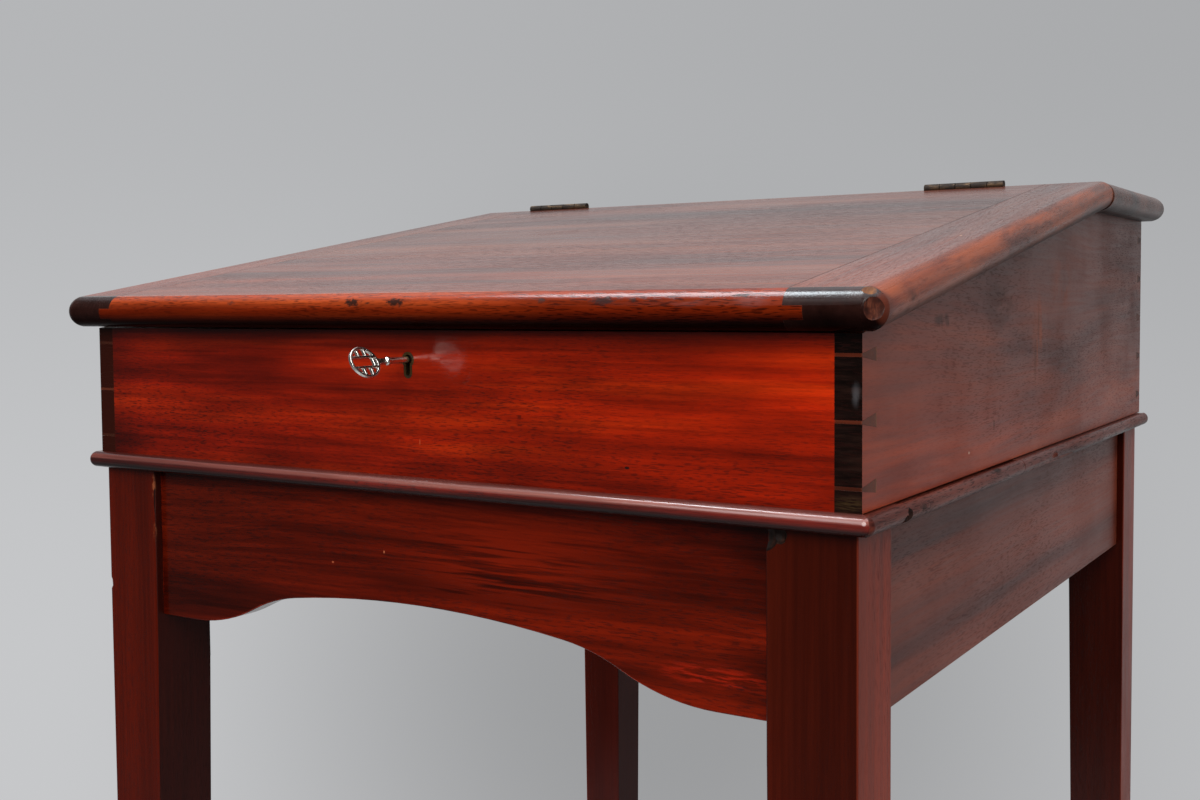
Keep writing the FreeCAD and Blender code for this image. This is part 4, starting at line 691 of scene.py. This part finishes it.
def finishBoard(node, board):
    # the sharp edges are eased and take the rubbed wood, the wear is cut, then the board stands in for its node
    piece = takeBoard(node)
    piece.data.materials.clear()
    piece.data.materials.append(wood[board["wood"]])
    piece.data.materials.append(wood[board["wood"] + "Arris"])
    for extra in board.get("extra", []):
        piece.data.materials.append(wood[extra])
    if board.get("sunk", 0.0) > 0:
        lowerTop(piece, board["sunk"])
    for corner in board.get("corners", []):
        trimCorner(piece, corner)
    apply(piece, "BEVEL", width=board["soft"], segments=easing["steps"], limit_method="ANGLE",
          angle_limit=easing["sharp"], use_clamp_overlap=True, material=arrisSlot, miter_outer="MITER_ARC")
    for chip in board.get("chips", []):
        gouge(piece, chip)
    if "nose" in board:
        paintNose(piece, board["nose"])
    if "ends" in board:
        paintEnds(piece, board["ends"])
    choose(piece)
    bpy.ops.object.shade_smooth_by_angle(angle=easing["smooth"])
    apply(piece, "WEIGHTED_NORMAL", keep_sharp=True, weight=easing["weight"])
    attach(piece, nodes[node]["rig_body"])
    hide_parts(node)


# the centre of each ball is where the two noses' own centre lines cross
lidCorner = {"centre": (0.34675, -0.37683, 1.03812), "out": (1, -1, 0), "ball": 0.01275}
stripCorner = {"centre": (0.3425, -0.3710, 0.9135), "out": (1, -1, 0), "ball": 0.0065}


def mirrored(corner):
    return shifted(corner, **{key: (-corner[key][0], *corner[key][1:]) for key in ("centre", "out")})


# soft: width of the eased edges; sunk: drop of the top; extra: woods from slot 2 on; nose, ends, tone: slots
boards = {
    "box_front": {"soft": 0.0003, "wood": "boxFrontMahogany"},
    "box_left_side": {"soft": 0.0003, "wood": "boxSideMahogany", "extra": ["endMahogany"], "ends": 2},
    "box_right_side": {"soft": 0.0003, "wood": "boxSideMahogany", "extra": ["endMahogany"], "ends": 2},
    "box_back": {"soft": 0.0005, "wood": "boxBackMahogany"},
    "box_bottom": {"soft": 0.0006, "wood": "bareMahogany"},
    "top_ledge": {"soft": 0.0008, "wood": "ledgeMahogany"},
    "lid_panel": {"soft": 0.0004, "wood": "lidMahogany", "extra": ["noseMahogany"], "nose": 2},
    "lid_cleat_left": {"soft": 0.0005, "wood": "cleatMahogany", "corners": [mirrored(lidCorner)],
                       "extra": ["cleatNoseMahogany"], "nose": 2},
    "lid_cleat_right": {"soft": 0.0005, "wood": "cleatMahogany", "corners": [lidCorner],
                        "extra": ["scarMahogany", "freshMahogany", "rimMahogany", "cleatNoseMahogany"], "nose": 5,
                        "chips": [
        {"at": (0.37729, -0.41755, 1.0388), "size": (0.0400, 0.0400, 0.0470), "rough": 0.014, "seed": 5, "tone": 4},
        {"at": (0.36365, -0.39873, 1.0390), "size": (0.0178, 0.0178, 0.0215), "rough": 0.045, "seed": 6, "tone": 2},
        {"at": (0.3528, -0.3872, 1.0578), "size": (0.0135, 0.0115, 0.0118), "rough": 0.03, "seed": 9, "tone": 3}]},
    "apron_front": {"soft": 0.0010, "wood": "apronMahogany"},
    "apron_rear": {"soft": 0.0010, "wood": "rearApronMahogany"},
    "apron_left": {"soft": 0.0010, "wood": "sideApronMahogany"},
    "apron_right": {"soft": 0.0010, "wood": "sideApronMahogany"},
    "leg_front_left": {"soft": 0.0012, "wood": "legMahogany", "chips": [
        {"at": (-0.3378, -0.3674, 0.8076), "size": (0.0045, 0.0058, 0.0062), "seed": 3},
        {"at": (-0.2772, -0.3668, 0.8820), "size": (0.0016, 0.0020, 0.0150), "seed": 4}]},
    "leg_front_right": {"soft": 0.0012, "wood": "legMahogany", "extra": ["darkHollowMahogany"], "chips": [
        {"at": (0.2785, -0.3676, 0.9005), "size": (0.0068, 0.0062, 0.0078), "seed": 7, "tone": 2},
        {"at": (0.2868, -0.3676, 0.9028), "size": (0.0052, 0.0052, 0.0056), "seed": 8, "tone": 2}]},
    "leg_rear_left": {"soft": 0.0012, "wood": "legMahogany"},
    "leg_rear_right": {"soft": 0.0012, "wood": "legMahogany"},
    "moulding_front": {"soft": 0.0005, "wood": "stripMahogany", "corners": [stripCorner, mirrored(stripCorner)]},
    "moulding_left": {"soft": 0.0005, "wood": "sideStripMahogany", "corners": [mirrored(stripCorner)]},
    "moulding_right_front": {"soft": 0.0005, "wood": "sideStripMahogany", "sunk": 0.0008, "corners": [stripCorner],
                             "extra": ["darkHollowMahogany"], "chips": [
        {"at": (0.3505, -0.3180, 0.9070), "size": (0.0058, 0.0052, 0.0062), "seed": 21, "tone": 2}]},
    "moulding_right_middle": {"soft": 0.0006, "wood": "sideStripMahogany", "sunk": 0.0018,
                              "extra": ["darkHollowMahogany"], "chips": [
        {"at": (0.3505, -0.3130, 0.9100), "size": (0.0056, 0.0055, 0.0070), "seed": 22, "tone": 2},
        {"at": (0.3500, -0.0600, 0.9060), "size": (0.0040, 0.0080, 0.0040), "seed": 23}]},
    "moulding_right_rear": {"soft": 0.0006, "wood": "sideStripMahogany", "sunk": 0.0008, "chips": [
        {"at": (0.3505, 0.0280, 0.9065), "size": (0.0060, 0.1000, 0.0058), "rough": 0.06, "seed": 24},
        {"at": (0.3500, 0.0300, 0.9130), "size": (0.0030, 0.0100, 0.0040), "seed": 25}]},
}
for node, board in boards.items():
    finishBoard(node, board)
print("boards eased:", len(boards))


keyLook = {"cell": 0.00024, "smooth": 0.5, "rounds": 14}


def castKey():
    # the frame's key with every edge rounded over as on a cast and filed one
    key = takeBoard("key")
    key.name = "key_filed"
    apply(key, "REMESH", mode="VOXEL", voxel_size=keyLook["cell"])
    apply(key, "SMOOTH", factor=keyLook["smooth"], iterations=keyLook["rounds"])
    choose(key)
    bpy.ops.object.shade_smooth()
    key.data.materials.clear()
    key.data.materials.append(keyNickel)
    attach(key, "key")
    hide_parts("key")
    print("key filed:", len(key.data.polygons), "faces")


castKey()
for node in nodes:
    if node.startswith("hinge"):
        nodes[node].material_slots[0].material = hingeBrass
    elif node.startswith(("lock", "link")):
        nodes[node].material_slots[0].material = lockSteel
    elif node == "keyhole_liner":
        nodes[node].material_slots[0].material = linerBrass
print("metal pieces finished")


floorLook = {"radius": 1.35, "tone": (0.38, 0.383, 0.390), "rough": 0.8, "fade": (0.85, 1.33),
             "mottle": (3.0, 3.0, 3.0), "mottleSpan": (0.2, 0.8, 0.97, 1.03)}


def layFloor():
    # a pale disc that fades out into the backdrop
    bpy.ops.object.select_all(action="DESELECT")
    bpy.ops.mesh.primitive_circle_add(vertices=96, radius=floorLook["radius"], fill_type="NGON", location=(0, 0, 0))
    floor = bpy.context.active_object
    floor.name = "studioFloor"
    finish = bpy.data.materials.new("paleFloor")
    finish.use_nodes = True
    tree = finish.node_tree
    tree.nodes.clear()
    place = put(tree, "TexCoord").outputs["Object"]
    mottle = ease(tree, cloud(tree, place, floorLook["mottle"], *noise["mottle"]).outputs[0],
                  *floorLook["mottleSpan"])
    tone = vec(tree, "MULTIPLY", floorLook["tone"], grey(tree, mottle))
    shader = put(tree, "BsdfPrincipled", {"Base Color": tone, "Roughness": floorLook["rough"]})
    clear = put(tree, "BsdfTransparent")
    edge = ease(tree, vec(tree, "LENGTH", place), *floorLook["fade"])
    both = put(tree, "MixShader", {0: edge, 1: shader.outputs[0], 2: clear.outputs[0]})
    put(tree, "OutputMaterial", {"Surface": both.outputs[0]})
    floor.data.materials.append(finish)


# spans of a direction's rise, of how far it points ahead or aside, and what they turn into
studio = {"faceWay": (-0.539, 0.842, 0.0), "sideWay": (0.842, 0.539, 0.0), "shadeWay": (-0.49, 0.83, -0.27),
          "frontGlow": (-0.05, 0.30, 0.06, 0.60), "backSpan": (-0.10, 0.50), "wallGlow": 0.45,
          "rightGlow": (0.35, 0.85, 0.0, 0.80), "rightRise": (-0.35, 0.05), "topGlow": (0.45, 0.85, 0.0, 0.70),
          "seenHigh": (0.430, 0.436, 0.447), "seenLow": (0.53, 0.536, 0.548), "seenSpan": (-0.25, 0.2),
          "leftToRight": (-0.45, 0.45, 1.07, 0.93), "shadeSpan": (0.05, 0.42, 0.62, 1.0),
          "roomSpan": (0.35, 0.88), "roomFloor": (-0.50, -0.25, 0.42, 0.18), "wallRise": (0.215, 0.29, 1.0, 1.58),
          "cornice": (0.37, 0.45, 1.0, 0.30), "aboveTone": (0.80, 0.84, 0.90), "aboveSpan": (0.62, 0.85),
          "aboveLean": 0.2}


def lightStudio():
    world = bpy.data.worlds.new("greyStudio")
    scene.world = world
    world.use_nodes = True
    tree = world.node_tree
    tree.nodes.clear()
    way = put(tree, "TexCoord").outputs["Generated"]
    rise = put(tree, "SeparateXYZ", {0: way}).outputs[2]
    ahead = vec(tree, "DOT_PRODUCT", way, studio["faceWay"])
    aside = vec(tree, "DOT_PRODUCT", way, studio["sideWay"])
    # soft fill: a tall window in front, the grey wall behind, an opening to the right, the ceiling
    front = ease(tree, rise, *studio["frontGlow"])
    back = ease(tree, ahead, *studio["backSpan"])
    glow = calc(tree, "ADD", calc(tree, "MULTIPLY", front, calc(tree, "SUBTRACT", 1.0, back)),
                calc(tree, "MULTIPLY", back, studio["wallGlow"]))
    right = calc(tree, "MULTIPLY", ease(tree, aside, *studio["rightGlow"]), ease(tree, rise, *studio["rightRise"]))
    glow = calc(tree, "MAXIMUM", calc(tree, "ADD", glow, right), ease(tree, rise, *studio["topGlow"]))
    path = put(tree, "LightPath").outputs
    # backdrop: lighter low down and to the left, shaded behind the desk
    seen = tint(tree, ease(tree, rise, *studio["seenSpan"]), full(studio["seenLow"]), full(studio["seenHigh"]))
    level = calc(tree, "MULTIPLY", ease(tree, aside, *studio["leftToRight"]),
                 ease(tree, vec(tree, "DISTANCE", way, studio["shadeWay"]), *studio["shadeSpan"]))
    # the camera sees that alone, while the polish mirrors a dim room before the desk, a bright wall behind it
    # and a dark cornice above the wall
    room = ease(tree, ahead, *studio["roomSpan"], ease(tree, rise, *studio["roomFloor"]), 1.0)
    wall = calc(tree, "MULTIPLY", ease(tree, rise, *studio["wallRise"]), ease(tree, rise, *studio["cornice"]))
    reflected = calc(tree, "MULTIPLY", room, wall)
    reflected = put(tree, "Mix", {0: path["Is Camera Ray"], 2: reflected, 3: 1.0}).outputs[0]
    seen = vec(tree, "MULTIPLY", seen, grey(tree, calc(tree, "MULTIPLY", level, reflected)))
    lift = calc(tree, "ADD", rise, calc(tree, "MULTIPLY", ahead, studio["aboveLean"]))
    seen = tint(tree, ease(tree, lift, *studio["aboveSpan"]), seen, full(studio["aboveTone"]))
    share = calc(tree, "ADD", path["Is Glossy Ray"], path["Is Transmission Ray"])
    share = calc(tree, "ADD", path["Is Camera Ray"], share, clamp=True)
    colour = tint(tree, share, grey(tree, glow), seen)
    put(tree, "OutputWorld", {"Surface": put(tree, "Background", {"Color": colour, "Strength": 1.0}).outputs[0]})


lamps = {
    "frontLamp": {"at": (0.9, -2.8, 2.7), "aim": (0.0, -0.3, 0.95), "size": (2.4, 2.4), "power": 72,
                  "tone": (1.0, 0.985, 0.96)},
    "windowLamp": {"at": (-0.85, -2.5, 2.75), "aim": (0.25, -0.38, 0.92), "size": (1.1, 1.5), "power": 9,
                   "tone": (0.95, 0.98, 1.0)},
    "ceilingLamp": {"at": (0.4, -0.5, 3.1), "aim": (0.2, -0.2, 1.0), "size": (3.2, 2.4), "power": 16,
                    "tone": (0.97, 0.985, 1.0)},
    "stripLamp": {"at": (-0.85, -0.40, 3.1), "aim": (0.1, -0.39, 1.04), "size": (1.1, 0.9), "power": 32,
                  "tone": (0.84, 0.94, 1.0)},
}


def hangLamps():
    for name, lamp in lamps.items():
        bpy.ops.object.light_add(type="AREA", location=lamp["at"])
        light = bpy.context.active_object
        light.name = name
        light.data.shape = "ELLIPSE"
        light.data.size, light.data.size_y = lamp["size"]
        light.data.energy = lamp["power"]
        light.data.color = lamp["tone"]
        light.rotation_euler = (Vector(lamp["aim"]) - Vector(lamp["at"])).to_track_quat("-Z", "Y").to_euler()


view = {"at": (0.62834, -1.09422, 1.04454), "yaw": 32.6045, "pitch": -2.8761, "roll": -0.466,
        "lens": 40.2975, "sensor": 36.0, "shift": (-0.00263, -0.02757), "near": 0.02}


def setCamera():
    bpy.ops.object.camera_add(location=view["at"])
    camera = bpy.context.active_object
    camera.name = "photoCamera"
    yaw, pitch, roll = (math.radians(view[part]) for part in ("yaw", "pitch", "roll"))
    turn = Euler((math.pi / 2 + pitch, 0.0, yaw), "XYZ").to_matrix() @ Euler((0.0, 0.0, roll), "XYZ").to_matrix()
    camera.rotation_euler = turn.to_euler()
    camera.data.sensor_width = view["sensor"]
    camera.data.lens = view["lens"]
    camera.data.shift_x, camera.data.shift_y = view["shift"]
    camera.data.clip_start = view["near"]
    scene.camera = camera


layFloor()
lightStudio()
hangLamps()
setCamera()
print("studio ready")
